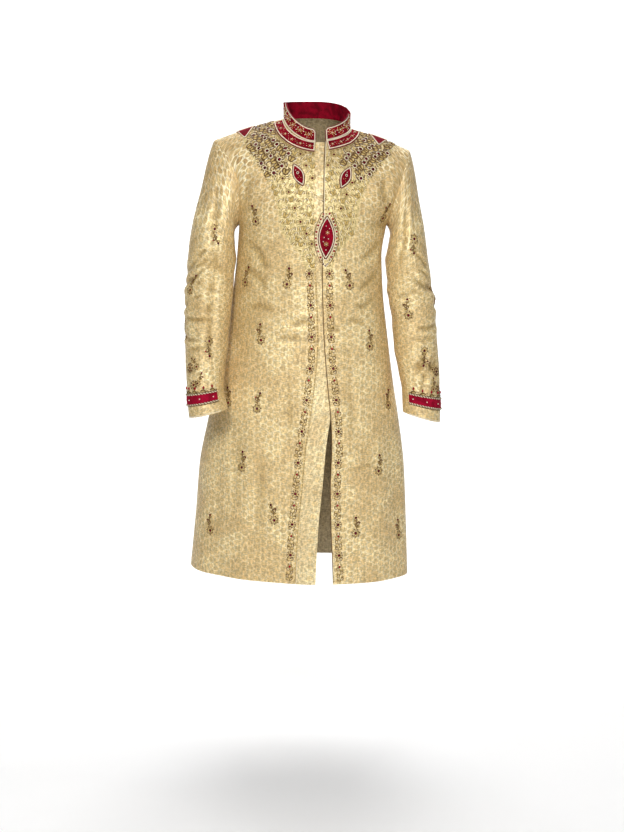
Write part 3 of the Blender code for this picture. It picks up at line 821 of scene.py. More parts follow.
class PanelSurface(BodySurface):
    """A main panel: across from its inner edge, up from the hem."""

    top, top_fade = 1.97, 0.12

    def __init__(self, side: Side, face: Face) -> None:
        """Keep the side and the face."""
        super().__init__(side)
        self.face = face

    def base(self, u: Array, v: Array) -> Array:
        """Points before the folds."""
        return FORM.panel(self.side, self.face, u, v)

    def normals(self, u: Array, v: Array) -> Array:
        """Outward normals, measured inside the panel.

        Args:
            u: Places across or round the cloth.
            v: Places up or along the cloth.

        Returns:
            The normals.
        """
        u, v = np.broadcast_arrays(u, v)
        here = self.base(u, v)
        beside = self.base(u + np.where(u < 0.5, self.step, -self.step), v) - here
        above = self.base(u, v + np.where(v < 0.5, self.step, -self.step)) - here
        return turned(unit(np.cross(beside, above)), self.outward(here))

    def relief(self, u: Array, v: Array, points: Array) -> Array:
        """The folds of this panel.

        Args:
            u: Places across or round the cloth.
            v: Places up or along the cloth.
            points: Points of the cloth.

        Returns:
            How far the points move out.
        """
        if self.face is Face.FRONT:
            return self.front_relief(points)
        fade = smooth((1.0 - u) / self.seam_fade) * smooth((self.top - v) / self.top_fade)
        return press(BACK_FOLDS, points[..., 0], points[..., 2]) * fade


class SleeveSurface(Surface):
    """A sleeve: round it in turns from the shoulder point, forward first, and along it."""

    cap_share = 7.0 / 27.0
    cap_start, underarm_start = 0.030, 0.065
    cap_end, underarm_end = 0.110, 0.0495
    rim_step, rim_last = 0.01, 0.9995
    rim_hold, rim_blend = 0.04, 0.037
    middle = np.array((0.34, 0.0, -0.15))
    girth, length = 0.340, 0.530
    step = 0.002
    run_step = 0.02
    first_turn = -0.45
    crease_fade = 0.10

    def __init__(self, side: Side) -> None:
        """Keep the side and its panels' surfaces."""
        self.side = side
        self.panels = {face: PanelSurface(side, face) for face in Face}

    def rim_frame(self, turn: Array) -> Pair:
        """Points and normals of the body along the armhole.

        Args:
            turn: Turns round the sleeve.

        Returns:
            The points and the body's normals there.
        """
        turn = np.mod(turn, 1.0)
        up = 1.0 + self.rim_last * np.abs(1.0 - 2.0 * turn)
        across = np.full(turn.shape, 1.0 - HALF_SEAM)
        front, back = (self.panels[face].skin(across, up) for face in Face)
        forward = (turn <= 0.5)[..., None]
        return np.where(forward, front[0], back[0]), np.where(forward, front[1], back[1])

    def rim(self, turn: Array) -> tuple[Array, Array, Array]:
        """Points, body normals and outgoing directions of the armhole.

        Args:
            turn: Turns round the sleeve.

        Returns:
            The points, the normals and the directions.
        """
        points, normals = self.rim_frame(turn)
        along = self.rim_frame(turn + self.rim_step)[0] - self.rim_frame(turn - self.rim_step)[0]
        aim = self.middle * np.array((self.side.value, 1.0, 1.0)) - points
        return points, normals, turned(unit(np.cross(along, normals)), aim)

    def ring(self, turn: Array, share: Array) -> Array:
        """Points of the sleeve below its cap.

        Args:
            turn: Turns round the sleeve.
            share: Shares along the arm.

        Returns:
            The points.
        """
        arm = {name: ARMS[self.side].read(name, share) for name in ARMS[self.side].columns}
        outer = stack(self.side.value * arm["outer"], arm["middle"], arm["outer_height"])
        inner = stack(self.side.value * arm["inner"], arm["middle"], arm["inner_height"])
        angle = TURN * turn
        centre = (outer + inner) / 2.0 + (outer - inner) / 2.0 * np.cos(angle)[..., None]
        return centre - stack(0.0, arm["depth"] * np.sin(angle), 0.0)

    def base(self, u: Array, v: Array) -> Array:
        """Points before the folds: the cap's curve from the armhole, then down the arm.

        Args:
            u: Places across or round the cloth.
            v: Places up or along the cloth.

        Returns:
            The points.
        """
        turn, share = paired(u, v)
        arm = self.ring(turn, np.maximum(0.0, (share - self.cap_share) / (1.0 - self.cap_share)))
        if np.all(share >= self.cap_share):
            return arm
        start, normals, out = self.rim(turn)
        under = 0.5 - 0.5 * np.cos(TURN * turn)[..., None]
        lead = unit(out * (1.0 - under) + normals * under)
        end = self.ring(turn, np.zeros(turn.shape))
        run = unit(self.ring(turn, np.full(turn.shape, self.run_step)) - end)
        firm = self.cap_start + (self.underarm_start - self.cap_start) * under
        finish = self.cap_end + (self.underarm_end - self.cap_end) * under
        along = np.clip(share / self.cap_share, 0.0, 1.0)[..., None]
        cap = hermite(start + out * SEAM_GAP, lead * firm, end, run * finish, along)
        return np.where((share >= self.cap_share)[..., None], arm, cap)

    def normals(self, u: Array, v: Array) -> Array:
        """Outward normals; at the armhole the sleeve's wall follows the body's.

        Args:
            u: Places across or round the cloth.
            v: Places up or along the cloth.

        Returns:
            The normals.
        """
        turn, share = paired(u, v)
        across = self.base(turn + self.step, share) - self.base(turn - self.step, share)
        low, high = np.maximum(0.0, share - self.step), np.minimum(1.0, share + self.step)
        normals = unit(np.cross(across, self.base(turn, high) - self.base(turn, low))) * self.side.value
        if np.all(share >= self.rim_hold):
            return normals
        near = 1.0 - smooth(share / self.rim_blend)
        hold = (near * np.where(share <= 0.0, 1.0, 0.5 + 0.5 * np.cos(TURN * turn)))[..., None]
        return unit(self.rim(turn)[1] * hold + normals * (1.0 - hold))

    def relief(self, u: Array, v: Array, points: Array) -> Array:
        """The sleeve's creases, folds and ripples.

        Args:
            u: Places across or round the cloth.
            v: Places up or along the cloth.
            points: Points of the cloth.

        Returns:
            How far the points move out.
        """
        total = np.zeros(points.shape[:-1])
        for crease in SLEEVE_CREASES[self.side]:
            round_off = np.mod(u - crease.round + 0.5, 1.0) - 0.5
            along_off = (v - crease.along - crease.slant * round_off) / crease.width
            fall = bell(along_off) - STAND * bell(along_off - FOLD_OFFSET)
            total = total - crease.depth * fall * bell(round_off / crease.reach)
        turn = np.mod(np.asarray(u) - self.first_turn, 1.0) + self.first_turn
        total = total + press(SLEEVE_FOLDS[self.side], turn * self.girth, np.asarray(v) * self.length)
        return total * smooth(v / self.crease_fade) * smooth((1.0 - v) / self.crease_fade)


# ---------------------------------------------------------------- shader nodes

Colour = tuple[float, float, float]


class Signal:
    """A number, vector or colour on its way through the nodes, which plain arithmetic extends."""

    def __init__(self, wiring: "Wiring", socket: bpy.types.NodeSocket) -> None:
        """Keep the socket that it comes out of."""
        self.wiring, self.socket = wiring, socket

    def __add__(self, other: object) -> "Signal":
        """The sum."""
        return self.wiring.math("ADD", self, other)

    def __sub__(self, other: object) -> "Signal":
        """The difference."""
        return self.wiring.math("SUBTRACT", self, other)

    def __rsub__(self, other: object) -> "Signal":
        """The difference from a constant."""
        return self.wiring.math("SUBTRACT", other, self)

    def __mul__(self, other: object) -> "Signal":
        """The product."""
        return self.wiring.math("MULTIPLY", self, other)

    def spread(self, factor: object, offset: object) -> "Signal":
        """The value times a factor, plus an offset."""
        return self.wiring.math("MULTIPLY_ADD", self, factor, offset)

    def between(self, low: float, high: float) -> "Signal":
        """The value eased from 0 at the low end to 1 at the high end."""
        values = {"Value": self, "From Min": low, "From Max": high, "To Min": 0.0, "To Max": 1.0}
        return self.wiring.add("ShaderNodeMapRange", values, interpolation_type="SMOOTHSTEP")["Result"]

    def times(self, factors: Sequence[float]) -> "Signal":
        """A vector times another, part by part."""
        return self.wiring.vector("MULTIPLY", self, factors)

    def shaded(self, factor: "Signal") -> "Signal":
        """A colour, darkened by a value."""
        grey = self.wiring.add("ShaderNodeCombineColor", {0: factor, 1: factor, 2: factor})["Color"]
        return self.wiring.blend(1.0, self, grey, mode="MULTIPLY")


class Wiring:
    """Adds and joins the nodes of one material or node group."""

    def __init__(self, tree: bpy.types.NodeTree) -> None:
        """Keep the node tree."""
        self.tree = tree

    def place(self, kind: str, values: Optional[dict] = None, **settings: object) -> bpy.types.Node:
        """Add a node.

        Args:
            kind: The node's type.
            values: Sockets by name or number, each with a constant or a signal.
            **settings: The node's own settings.

        Returns:
            The node.
        """
        node = self.tree.nodes.new(kind)
        for name, value in settings.items():
            setattr(node, name, value)
        self.feed(node, values or {})
        return node

    def add(self, kind: str, values: Optional[dict] = None, **settings: object) -> dict[str, Signal]:
        """Add a node and return its outputs by name."""
        return {socket.name: Signal(self, socket) for socket in self.place(kind, values, **settings).outputs}

    def feed(self, node: bpy.types.Node, values: dict) -> None:
        """Give a node's sockets, by name or number, their constants or signals.

        Args:
            node: The node.
            values: Sockets by name or number, each with a constant or a signal.
        """
        for name, value in values.items():
            socket = node.inputs[name]
            if isinstance(value, Signal):
                self.tree.links.new(value.socket, socket)
            else:
                socket.default_value = (*value, 1.0) if socket.type == "RGBA" else value

    def math(self, operation: str, *values: object) -> Signal:
        """One sum, product or the like."""
        return self.add("ShaderNodeMath", dict(enumerate(values)), operation=operation)["Value"]

    def vector(self, operation: str, *values: object, output: str = "Vector") -> Signal:
        """One sum, product or the like of vectors."""
        return self.add("ShaderNodeVectorMath", dict(enumerate(values)), operation=operation)[output]

    def noise(self, place: Signal, size: object, detail: float, **more: float) -> dict[str, Signal]:
        """A soft noise."""
        return self.add("ShaderNodeTexNoise", {"Vector": place, "Scale": size, "Detail": detail, **more})

    def blend(self, share: object, first: object, second: object, mode: str = "MIX") -> Signal:
        """Two colours mixed."""
        values = {0: share, 6: first, 7: second}
        return Signal(self, self.place("ShaderNodeMix", values, data_type="RGBA", blend_type=mode).outputs[2])

    def bump(self, height: Signal, distance: float) -> Signal:
        """A normal from a height."""
        return self.add("ShaderNodeBump", {"Height": height, "Distance": distance, "Strength": 1.0})["Normal"]

    def cloth(self) -> Signal:
        """The place on the flat cloth."""
        return self.add("ShaderNodeUVMap", uv_map="cloth")["UV"]

    def world(self) -> Signal:
        """The place in space."""
        return self.add("ShaderNodeTexCoord")["Object"]

    def mask(self, name: str) -> Signal:
        """A value that the cloth's points carry."""
        return self.add("ShaderNodeAttribute", attribute_name=name)["Fac"]


class NodeGroup:
    """A shared effect over a place, with one named size and named outputs, built once."""

    name = ""
    size = ""
    outputs: tuple[str, ...] = ()

    def tree(self) -> bpy.types.NodeTree:
        """The group, made when it is first asked for.

        Returns:
            The group.
        """
        made = bpy.data.node_groups.get(self.name)
        if made:
            return made
        made = bpy.data.node_groups.new(self.name, "ShaderNodeTree")
        made.interface.new_socket("Place", in_out="INPUT", socket_type="NodeSocketVector")
        made.interface.new_socket(self.size, in_out="INPUT", socket_type="NodeSocketFloat")
        for name in self.outputs:
            made.interface.new_socket(name, in_out="OUTPUT", socket_type="NodeSocketFloat")
        wiring = Wiring(made)
        given = wiring.add("NodeGroupInput")
        wiring.feed(wiring.place("NodeGroupOutput"), self.work_out(wiring, given["Place"], given[self.size]))
        return made

    def work_out(self, wiring: Wiring, place: Signal, size: Signal) -> dict[str, Signal]:
        """Wire the group and return its outputs by name."""
        raise NotImplementedError

    def use(self, wiring: Wiring, place: Signal, size: float) -> dict[str, Signal]:
        """Place the group in a material and return its outputs."""
        return wiring.add("ShaderNodeGroup", {"Place": place, self.size: size}, node_tree=self.tree())


class OgeeWeave(NodeGroup):
    """The brocade's lattice: large round cells among small ones, with thin pale lines between them."""

    name, size, outputs = "ogee_weave", "Pitch", ("Line", "Heart", "Cell")
    waver_size, waver_reach = 42.0, 0.016
    line_inside, line_outside = (-1.05, -0.65), (0.6, 1.0)
    rim_inside, rim_outside = (0.1, 0.7), (0.9, 1.5)
    heart, cell = (1.6, 2.5), (-0.7, 0.2)
    uneven, uneven_depth = (0.35, 0.6), (0.7, 0.3)

    def lattice(self, wiring: Wiring, place: Signal, pitch: Signal) -> Signal:
        """Three waves at a third of a turn, highest in the middle of each cell and lowest at its corners.

        Args:
            wiring: The nodes to extend.
            place: Where the effect is worked out.
            pitch: The distance between two cells.

        Returns:
            The sum of the waves.
        """
        turns = wiring.math("DIVIDE", TURN / math.cos(math.pi / 6.0), pitch)
        waves = []
        for bearing in (0.0, math.pi / 3.0, TURN / 3.0):
            way = (math.cos(bearing), math.sin(bearing), 0.0)
            phase = wiring.vector("DOT_PRODUCT", place, way, output="Value") * turns
            waves.append(wiring.math("COSINE", phase))
        return waves[0] + waves[1] + waves[2]

    def work_out(self, wiring: Wiring, place: Signal, size: Signal) -> dict[str, Signal]:
        """Large round cells among small six-sided ones, both wavering a little.

        Args:
            wiring: The nodes to extend.
            place: Where the effect is worked out.
            size: Its size.

        Returns:
            The pale lines, the hearts of the large cells and the small cells.
        """
        waver = wiring.noise(place, self.waver_size, 1.0)
        shift = wiring.vector("SUBTRACT", waver["Color"], (0.5, 0.5, 0.5))
        place = wiring.vector("ADD", place, shift.times((self.waver_reach, self.waver_reach, 0.0)))
        large, small = self.lattice(wiring, place, size), self.lattice(wiring, place, size * 0.5)
        line = (1.0 - small.between(*self.line_inside)) * (1.0 - large.between(*self.line_outside))
        rim = large.between(*self.rim_inside) * (1.0 - large.between(*self.rim_outside))
        tone = waver["Fac"].between(*self.uneven).spread(*self.uneven_depth)
        return {
            "Line": wiring.math("MAXIMUM", line, rim),
            "Heart": large.between(*self.heart),
            "Cell": small.between(*self.cell) * tone,
        }


class ThreadGrain(NodeGroup):
    """Fine threads: a speckle drawn out along one way, and a cross rib."""

    name, size, outputs = "thread_grain", "Fineness", ("Speckle", "Rib")
    weft, warp = (0.32, 1.0, 1.0), (1.0, 0.4, 1.0)
    coarser = 0.42
    contrast = (0.36, 0.64)

    def work_out(self, wiring: Wiring, place: Signal, size: Signal) -> dict[str, Signal]:
        """Mix noises of two proportions.

        Args:
            wiring: The nodes to extend.
            place: Where the effect is worked out.
            size: Its size.

        Returns:
            The speckle and the rib.
        """
        weft = wiring.noise(place.times(self.weft), size, 1.5)["Fac"]
        warp = wiring.noise(place.times(self.warp), size * self.coarser, 2.0)["Fac"]
        return {"Speckle": ((weft + warp) * 0.5).between(*self.contrast), "Rib": weft}


class Handling(NodeGroup):
    """Broad soft changes of tone, as cloth has where it has been folded, pressed and worn."""

    name, size, outputs = "handling", "Size", ("Tone",)
    detail, distortion = 3.0, 0.6
    contrast = (0.33, 0.67)

    def work_out(self, wiring: Wiring, place: Signal, size: Signal) -> dict[str, Signal]:
        """One soft noise."""
        noise = wiring.noise(place, size, self.detail, Distortion=self.distortion)
        return {"Tone": noise["Fac"].between(*self.contrast)}


OGEE, GRAIN, HANDLING = OgeeWeave(), ThreadGrain(), Handling()


class Finish:
    """A finish: it makes its material once."""

    name: str

    def material(self) -> bpy.types.Material:
        """The material, made when it is first asked for.

        Returns:
            The material.
        """
        made = bpy.data.materials.get(self.name)
        if made is None:
            made = bpy.data.materials.new(self.name)
            made.use_nodes = True
            wiring = Wiring(made.node_tree)
            wiring.feed(made.node_tree.nodes["Principled BSDF"], self.looks(wiring))
        return made

    def looks(self, wiring: Wiring) -> dict:
        """Wire the material's nodes and return the shader's inputs by name."""
        raise NotImplementedError


@dataclass(frozen=True)
class Brocade(Finish):
    """Gold brocade: thin pale lines round tan cells, speckled with thread, on the cloth's own UV map."""

    name: str
    line: Colour = (0.92, 0.81, 0.55)
    cell: Colour = (0.51, 0.33, 0.13)
    heart: Colour = (0.78, 0.60, 0.29)
    pale: Colour = (0.79, 0.625, 0.31)
    stitched: Colour = (0.62, 0.48, 0.175)
    shadow: Colour = (0.36, 0.235, 0.070)
    ground: Colour = (0.40, 0.275, 0.075)
    sheen_tint: Colour = (1.0, 0.93, 0.75)
    figure: float = 1.0
    pitch: float = 0.036
    squat: float = 1.25
    metallic: float = 0.14
    roughness: float = 0.52
    sheen: float = 0.04
    sheen_roughness: float = 0.4
    relief: float = 0.00035
    rib: float = 0.7                  # how high the ribs are beside the lines
    coarse: float = 460.0
    fine: float = 1100.0
    handled: float = 13.0
    handled_tone: float = 0.55
    handled_loss: float = -0.30
    figure_heights: tuple[float, float] = (-0.30, -0.07)    # between them the figure deepens
    figure_gain: float = 0.52
    figure_least: float = 0.50
    cells: tuple[float, float] = (0.85, 0.15)
    hearts: float = 0.8
    worked: float = 0.8
    worked_full: tuple[float, float] = (0.55, 1.0)
    worked_light: float = 0.35
    shade: float = 0.62
    coarse_tone: tuple[float, float] = (0.64, 0.66)
    fine_tone: tuple[float, float] = (0.30, 0.85)

    def looks(self, wiring: Wiring) -> dict:
        """Tones by the lattice, the threads and the handling; a worked ground under the embroidery.

        Args:
            wiring: The nodes to extend.

        Returns:
            The shader's inputs by name.
        """
        place = wiring.cloth()
        weave = OGEE.use(wiring, place.times((1.0, self.squat, 1.0)), self.pitch)
        grain, fine = (GRAIN.use(wiring, place, fineness) for fineness in (self.coarse, self.fine))
        speckle = grain["Speckle"]
        tone = HANDLING.use(wiring, place, self.handled)["Tone"]
        height = wiring.add("ShaderNodeSeparateXYZ", {0: wiring.world()})["Z"].between(*self.figure_heights)
        rise = height.spread(self.figure_gain * self.figure, self.figure_least * self.figure)
        depth = tone.spread(self.handled_loss, 1.0) * rise
        worked = wiring.mask("worked")
        filled = wiring.blend(worked.between(*self.worked_full), self.stitched, self.ground)
        filled = wiring.blend(speckle * self.worked_light, filled, self.line)
        colour = wiring.blend(weave["Cell"].spread(*self.cells) * depth, self.pale, self.cell)
        for share, other in (
            (weave["Heart"] * self.hearts, self.heart),
            (weave["Line"] * depth, self.line),
            (tone * self.handled_tone, self.cell),
            (worked.between(0.0, 0.5) * self.worked, filled),
            (wiring.mask("shade") * self.shade, self.shadow),
        ):
            colour = wiring.blend(share, colour, other)
        threads = speckle.spread(*self.coarse_tone) * fine["Speckle"].spread(*self.fine_tone)
        return {
            "Base Color": colour.shaded(threads),
            "Roughness": speckle.spread(-0.14, self.roughness + 0.10),
            "Metallic": speckle.spread(0.24, self.metallic - 0.12),
            "Normal": wiring.bump(weave["Line"].spread(0.5, grain["Rib"] * self.rib), self.relief),
            "Sheen Weight": self.sheen,
            "Sheen Roughness": self.sheen_roughness,
            "Sheen Tint": self.sheen_tint,
        }


@dataclass(frozen=True)
class Velvet(Finish):
    """Velvet: a deep pile that changes tone where it has been stroked."""

    name: str
    pile: Colour = (0.13, 0.0010, 0.0070)
    stroked: Colour = (0.29, 0.0018, 0.0160)
    sheen_tint: Colour = (0.80, 0.02, 0.08)
    sheen: float = 0.20
    sheen_roughness: float = 0.35
    roughness: float = 0.72
    specular: float = 0.08
    nap: float = 1500.0
    relief: float = 0.00025
    handled: float = 60.0

    def looks(self, wiring: Wiring) -> dict:
        """Pile tones by the stroking and the fine nap.

        Args:
            wiring: The nodes to extend.

        Returns:
            The shader's inputs by name.
        """
        place = wiring.cloth()
        grain = GRAIN.use(wiring, place, self.nap)
        colour = wiring.blend(HANDLING.use(wiring, place, self.handled)["Tone"], self.pile, self.stroked)
        return {
            "Base Color": colour.shaded(grain["Speckle"].spread(0.5, 0.72)),
            "Roughness": grain["Rib"].spread(0.15, self.roughness),
            "Normal": wiring.bump(grain["Speckle"], self.relief),
            "Sheen Weight": self.sheen,
            "Sheen Roughness": self.sheen_roughness,
            "Sheen Tint": self.sheen_tint,
            "Specular IOR Level": self.specular,
        }


@dataclass(frozen=True)
class ThreadFinish(Finish):
    """Embroidery thread or metal purl, lit and dark along its twist."""

    name: str
    light: Colour
    dark: Colour
    metallic: float = 0.55
    roughness: float = 0.36
    twist: float = 900.0
    uneven: float = 2.5
    fineness: float = 700.0
    relief: float = 0.0002

    def looks(self, wiring: Wiring) -> dict:
        """Two tones by a slanting twist and a speckle.

        Args:
            wiring: The nodes to extend.

        Returns:
            The shader's inputs by name.
        """
        place = wiring.world()
        values = {"Vector": place, "Scale": self.twist, "Distortion": self.uneven, "Detail": 1.0}
        wave = wiring.add("ShaderNodeTexWave", values, bands_direction="DIAGONAL")["Fac"]
        grain = GRAIN.use(wiring, place, self.fineness)
        share = (wave + grain["Speckle"]) * 0.5
        return {
            "Base Color": wiring.blend(share, self.dark, self.light),
            "Roughness": grain["Rib"].spread(0.2, self.roughness),
            "Metallic": share.spread(0.2, self.metallic - 0.1),
            "Normal": wiring.bump(wave, self.relief),
        }


@dataclass(frozen=True)
class StoneFinish(Finish):
    """A glass stone: deep in the middle, clearer in patches, with a hard gloss."""

    name: str
    deep: Colour
    clear: Colour
    roughness: float = 0.12
    coat: float = 0.03
    coat_roughness: float = 0.08
    specular: float = 0.2
    patches: float = 420.0
    contrast: tuple[float, float] = (0.42, 0.68)

    def looks(self, wiring: Wiring) -> dict:
        """Two depths of colour under a clear coat.

        Args:
            wiring: The nodes to extend.

        Returns:
            The shader's inputs by name.
        """
        share = wiring.noise(wiring.world(), self.patches, 1.0)["Fac"].between(*self.contrast)
        return {
            "Base Color": wiring.blend(share, self.deep, self.clear),
            "Roughness": share.spread(0.15, self.roughness),
            "Coat Weight": self.coat,
            "Coat Roughness": self.coat_roughness,
            "Specular IOR Level": self.specular,
        }


@dataclass(frozen=True)
class Paper(Finish):
    """Pale matt paper with a faint mottle."""

    name: str
    dark: Colour = (0.93, 0.93, 0.93)
    light: Colour = (0.96, 0.96, 0.96)
    mottle: float = 2.0
    roughness: float = 0.9

    def looks(self, wiring: Wiring) -> dict:
        """Two tones in soft patches."""
        tone = HANDLING.use(wiring, wiring.world(), self.mottle)["Tone"]
        return {"Base Color": wiring.blend(tone, self.dark, self.light), "Roughness": self.roughness}


REVERSE = Brocade(
    "brocade_reverse", (0.50, 0.40, 0.24), (0.34, 0.26, 0.13), (0.42, 0.33, 0.18), (0.44, 0.34, 0.19),
    figure=0.5, metallic=0.1, sheen=0.05,
)


@dataclass(frozen=True)
class Goods:
    """What a piece of cloth is cut from: its finishes, its thickness and a slot's name."""

    word: str
    slot: str
    thickness: float
    finish: Finish
    under: Optional[Finish] = None


GOLD_CLOTH = Goods("cloth", "gold_brocade", CLOTH, Brocade("figured_gold_cloth"), REVERSE)
PLAIN_CLOTH = Goods(
    "cloth", "plain_brocade", CLOTH,
    Brocade("plain_gold_cloth", pale=(0.81, 0.67, 0.37), figure=0.6, metallic=0.2, relief=0.00025), REVERSE,
)
VELVET = Goods("velvet", "maroon_velvet", TRIM_CLOTH, Velvet("deep_maroon_velvet"))
STAND_VELVET = Goods("velvet", "maroon_velvet", COLLAR_CLOTH, VELVET.finish)
CUFF_VELVET = Goods(
    "velvet", "maroon_velvet", TRIM_CLOTH,
    Velvet("crimson_velvet", (0.22, 0.0020, 0.015), (0.38, 0.0040, 0.030), (0.80, 0.03, 0.10)),
)


class Thread(Enum):
    """What the embroidery is worked in."""

    BRONZE = ThreadFinish("bronze_thread", (0.26, 0.140, 0.040), (0.085, 0.040, 0.011), 0.25)
    OLIVE = ThreadFinish("olive_thread", (0.47, 0.33, 0.095), (0.24, 0.150, 0.038), 0.25)
    GOLD = ThreadFinish("gold_thread", (0.86, 0.64, 0.25), (0.56, 0.38, 0.11), 0.35, 0.34)
    CREAM = ThreadFinish("cream_thread", (0.99, 0.91, 0.72), (0.86, 0.75, 0.53), 0.12, 0.50)
    PEARL = ThreadFinish("cream_bead", (0.99, 0.93, 0.80), (0.90, 0.80, 0.60), 0.12, 0.30)
    CRIMSON = ThreadFinish("crimson_cord", (0.20, 0.004, 0.014), (0.10, 0.002, 0.006), 0.10, 0.60)
    SEQUIN = ThreadFinish("green_sequin", (0.42, 0.44, 0.30), (0.24, 0.27, 0.17), 0.5, 0.30)
    DARK_STONE = StoneFinish("dark_stone", (0.045, 0.002, 0.006), (0.19, 0.005, 0.016))
    RED_STONE = StoneFinish("red_stone", (0.22, 0.003, 0.012), (0.46, 0.012, 0.032))


# ---------------------------------------------------------------- making cloth

SUNK_DEPTH = 0.0017       # how deep a crease lies where its shade is full
SUNK_REACH = 3            # over how many points of the grid that is measured
CLOTH_CRISP = math.radians(50.0)    # edges steeper than this stay sharp
BEAD_CRISP = math.radians(55.0)


def link(name: str, data: bpy.types.ID) -> bpy.types.Object:
    """Put new data in the scene as an object.

    Args:
        name: Its name.
        data: Its mesh, curve, light or camera.

    Returns:
        The object.
    """
    made = bpy.data.objects.new(name, data)
    bpy.context.scene.collection.objects.link(made)
    return made


def settle(piece: bpy.types.Object) -> bpy.types.Object:
    """Let a piece ride on the coat, and report it.

    Args:
        piece: The piece.

    Returns:
        The same piece.
    """
    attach(piece, "root")
    log.info("%s: %d faces", piece.name, len(piece.data.polygons))
    return piece


@dataclass
class ClothGrid:
    """The points of a piece of cloth, row by row, with its places on the flat cloth."""

    goods: Goods
    outer: Array
    inner: Array
    flat: Array
    shade: Array
    worked: Optional[Array] = None

    @classmethod
    def under(cls, goods: Goods, skin: Pair, start: float | Array = 0.0, mirror: bool = False) -> "ClothGrid":
        """A wall under a skin.

        Args:
            goods: What it is cut from.
            skin: Outer points and outward directions.
            start: Place on the flat cloth of the first column, or one for each row.
            mirror: Whether the flat cloth runs the other way.

        Returns:
            The grid.
        """
        outer, normals = skin
        u = np.pad(np.cumsum(lengths(outer, 1), axis=1), ((0, 0), (1, 0)))
        v = np.pad(np.cumsum(lengths(outer, 0), axis=0), ((1, 0), (0, 0)))
        around = [np.roll(outer, step, axis) for step in (-SUNK_REACH, SUNK_REACH) for axis in (0, 1)]
        sunk = np.sum((sum(around) / 4.0 - outer) * normals, axis=-1)
        for edge in (sunk[:SUNK_REACH], sunk[-SUNK_REACH:], sunk[:, :SUNK_REACH], sunk[:, -SUNK_REACH:]):
            edge[...] = 0.0
        flat = np.stack((np.asarray(start)[..., None] + (-u if mirror else u), v), axis=-1)
        shade = np.clip(sunk / SUNK_DEPTH, 0.0, 1.0)
        return cls(goods, outer, outer - normals * goods.thickness, flat, shade)

    def cut(self) -> tuple[float, float, float]:
        """Width, length and area of the flat cloth that it is cut from.

        Returns:
            The width, the length and the area.
        """
        longest = (lengths(self.outer, axis).sum(axis=axis).max() for axis in (1, 0))
        width, length = (math.ceil(measure * 1000.0) / 1000.0 for measure in longest)
        one, other = self.outer[1:, 1:] - self.outer[:-1, :-1], self.outer[1:, :-1] - self.outer[:-1, 1:]
        area = float(np.sum(np.linalg.norm(np.cross(one, other), axis=-1)) / 2.0)
        return width, length, round(min(area, width * length), 4)

    def faces(self) -> Array:
        """The closed wall's faces: the outer ones, as many inner ones, and the rim.

        Returns:
            Each face's four points, by number.
        """
        rows, columns = self.outer.shape[:2]
        count = rows * columns
        number = np.arange(count).reshape(rows, columns)
        corners = number[:-1, :-1], number[:-1, 1:], number[1:, 1:], number[1:, :-1]
        outer = np.stack(corners, axis=-1).reshape(-1, 4)
        loop = np.concatenate((number[0, :-1], number[:-1, -1], number[-1, :0:-1], number[:0:-1, 0]))
        after = np.roll(loop, -1)
        rim = np.stack((after, loop, loop + count, after + count), axis=-1)
        faces = np.concatenate((outer, outer[:, ::-1] + count, rim))
        row, column = rows // 2, columns // 2
        middle = self.outer[row, column]
        facing = np.cross(self.outer[row, column + 1] - middle, self.outer[row + 1, column] - middle)
        return faces[:, ::-1] if np.dot(facing, middle - self.inner[row, column]) < 0.0 else faces

    def make(self, node: str, held: str, rests_on: Sequence[str]) -> bpy.types.Object:
        """Args:
            node: The frame's node that it stands for.
            held: How it is held; not used.
            rests_on: What it rests on; not used.

        Returns:
            The piece.
        """
        faces, name = self.faces(), f"{node}_{self.goods.word}"
        mesh = bpy.data.meshes.new(name)
        points = np.concatenate((self.outer.reshape(-1, 3), self.inner.reshape(-1, 3)))
        mesh.from_pydata(points.tolist(), [], faces.tolist())
        flat = np.tile(self.flat.reshape(-1, 2), (2, 1))[faces.reshape(-1)]
        mesh.uv_layers.new(name="cloth").data.foreach_set("uv", flat.astype(np.float32).reshape(-1))
        worked = np.zeros(self.shade.shape) if self.worked is None else self.worked
        for word, values in (("worked", worked), ("shade", self.shade)):
            both = np.tile(values.reshape(-1), 2).astype(np.float32)
            mesh.attributes.new(word, "FLOAT", "POINT").data.foreach_set("value", both)
        mesh.materials.append(self.goods.finish.material())
        if self.goods.under is not None:
            mesh.materials.append(self.goods.under.material())
            outer = (self.outer.shape[0] - 1) * (self.outer.shape[1] - 1)
            index = np.zeros(len(faces), dtype=np.int32)
            index[outer : 2 * outer] = 1
            mesh.polygons.foreach_set("material_index", index)
        mesh.shade_smooth()
        mesh.set_sharp_from_angle(angle=CLOTH_CRISP)
        piece = settle(link(name, mesh))
        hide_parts(node)
        width, length, area = self.cut()
        return piece


# ---------------------------------------------------------------- the coat's cloth


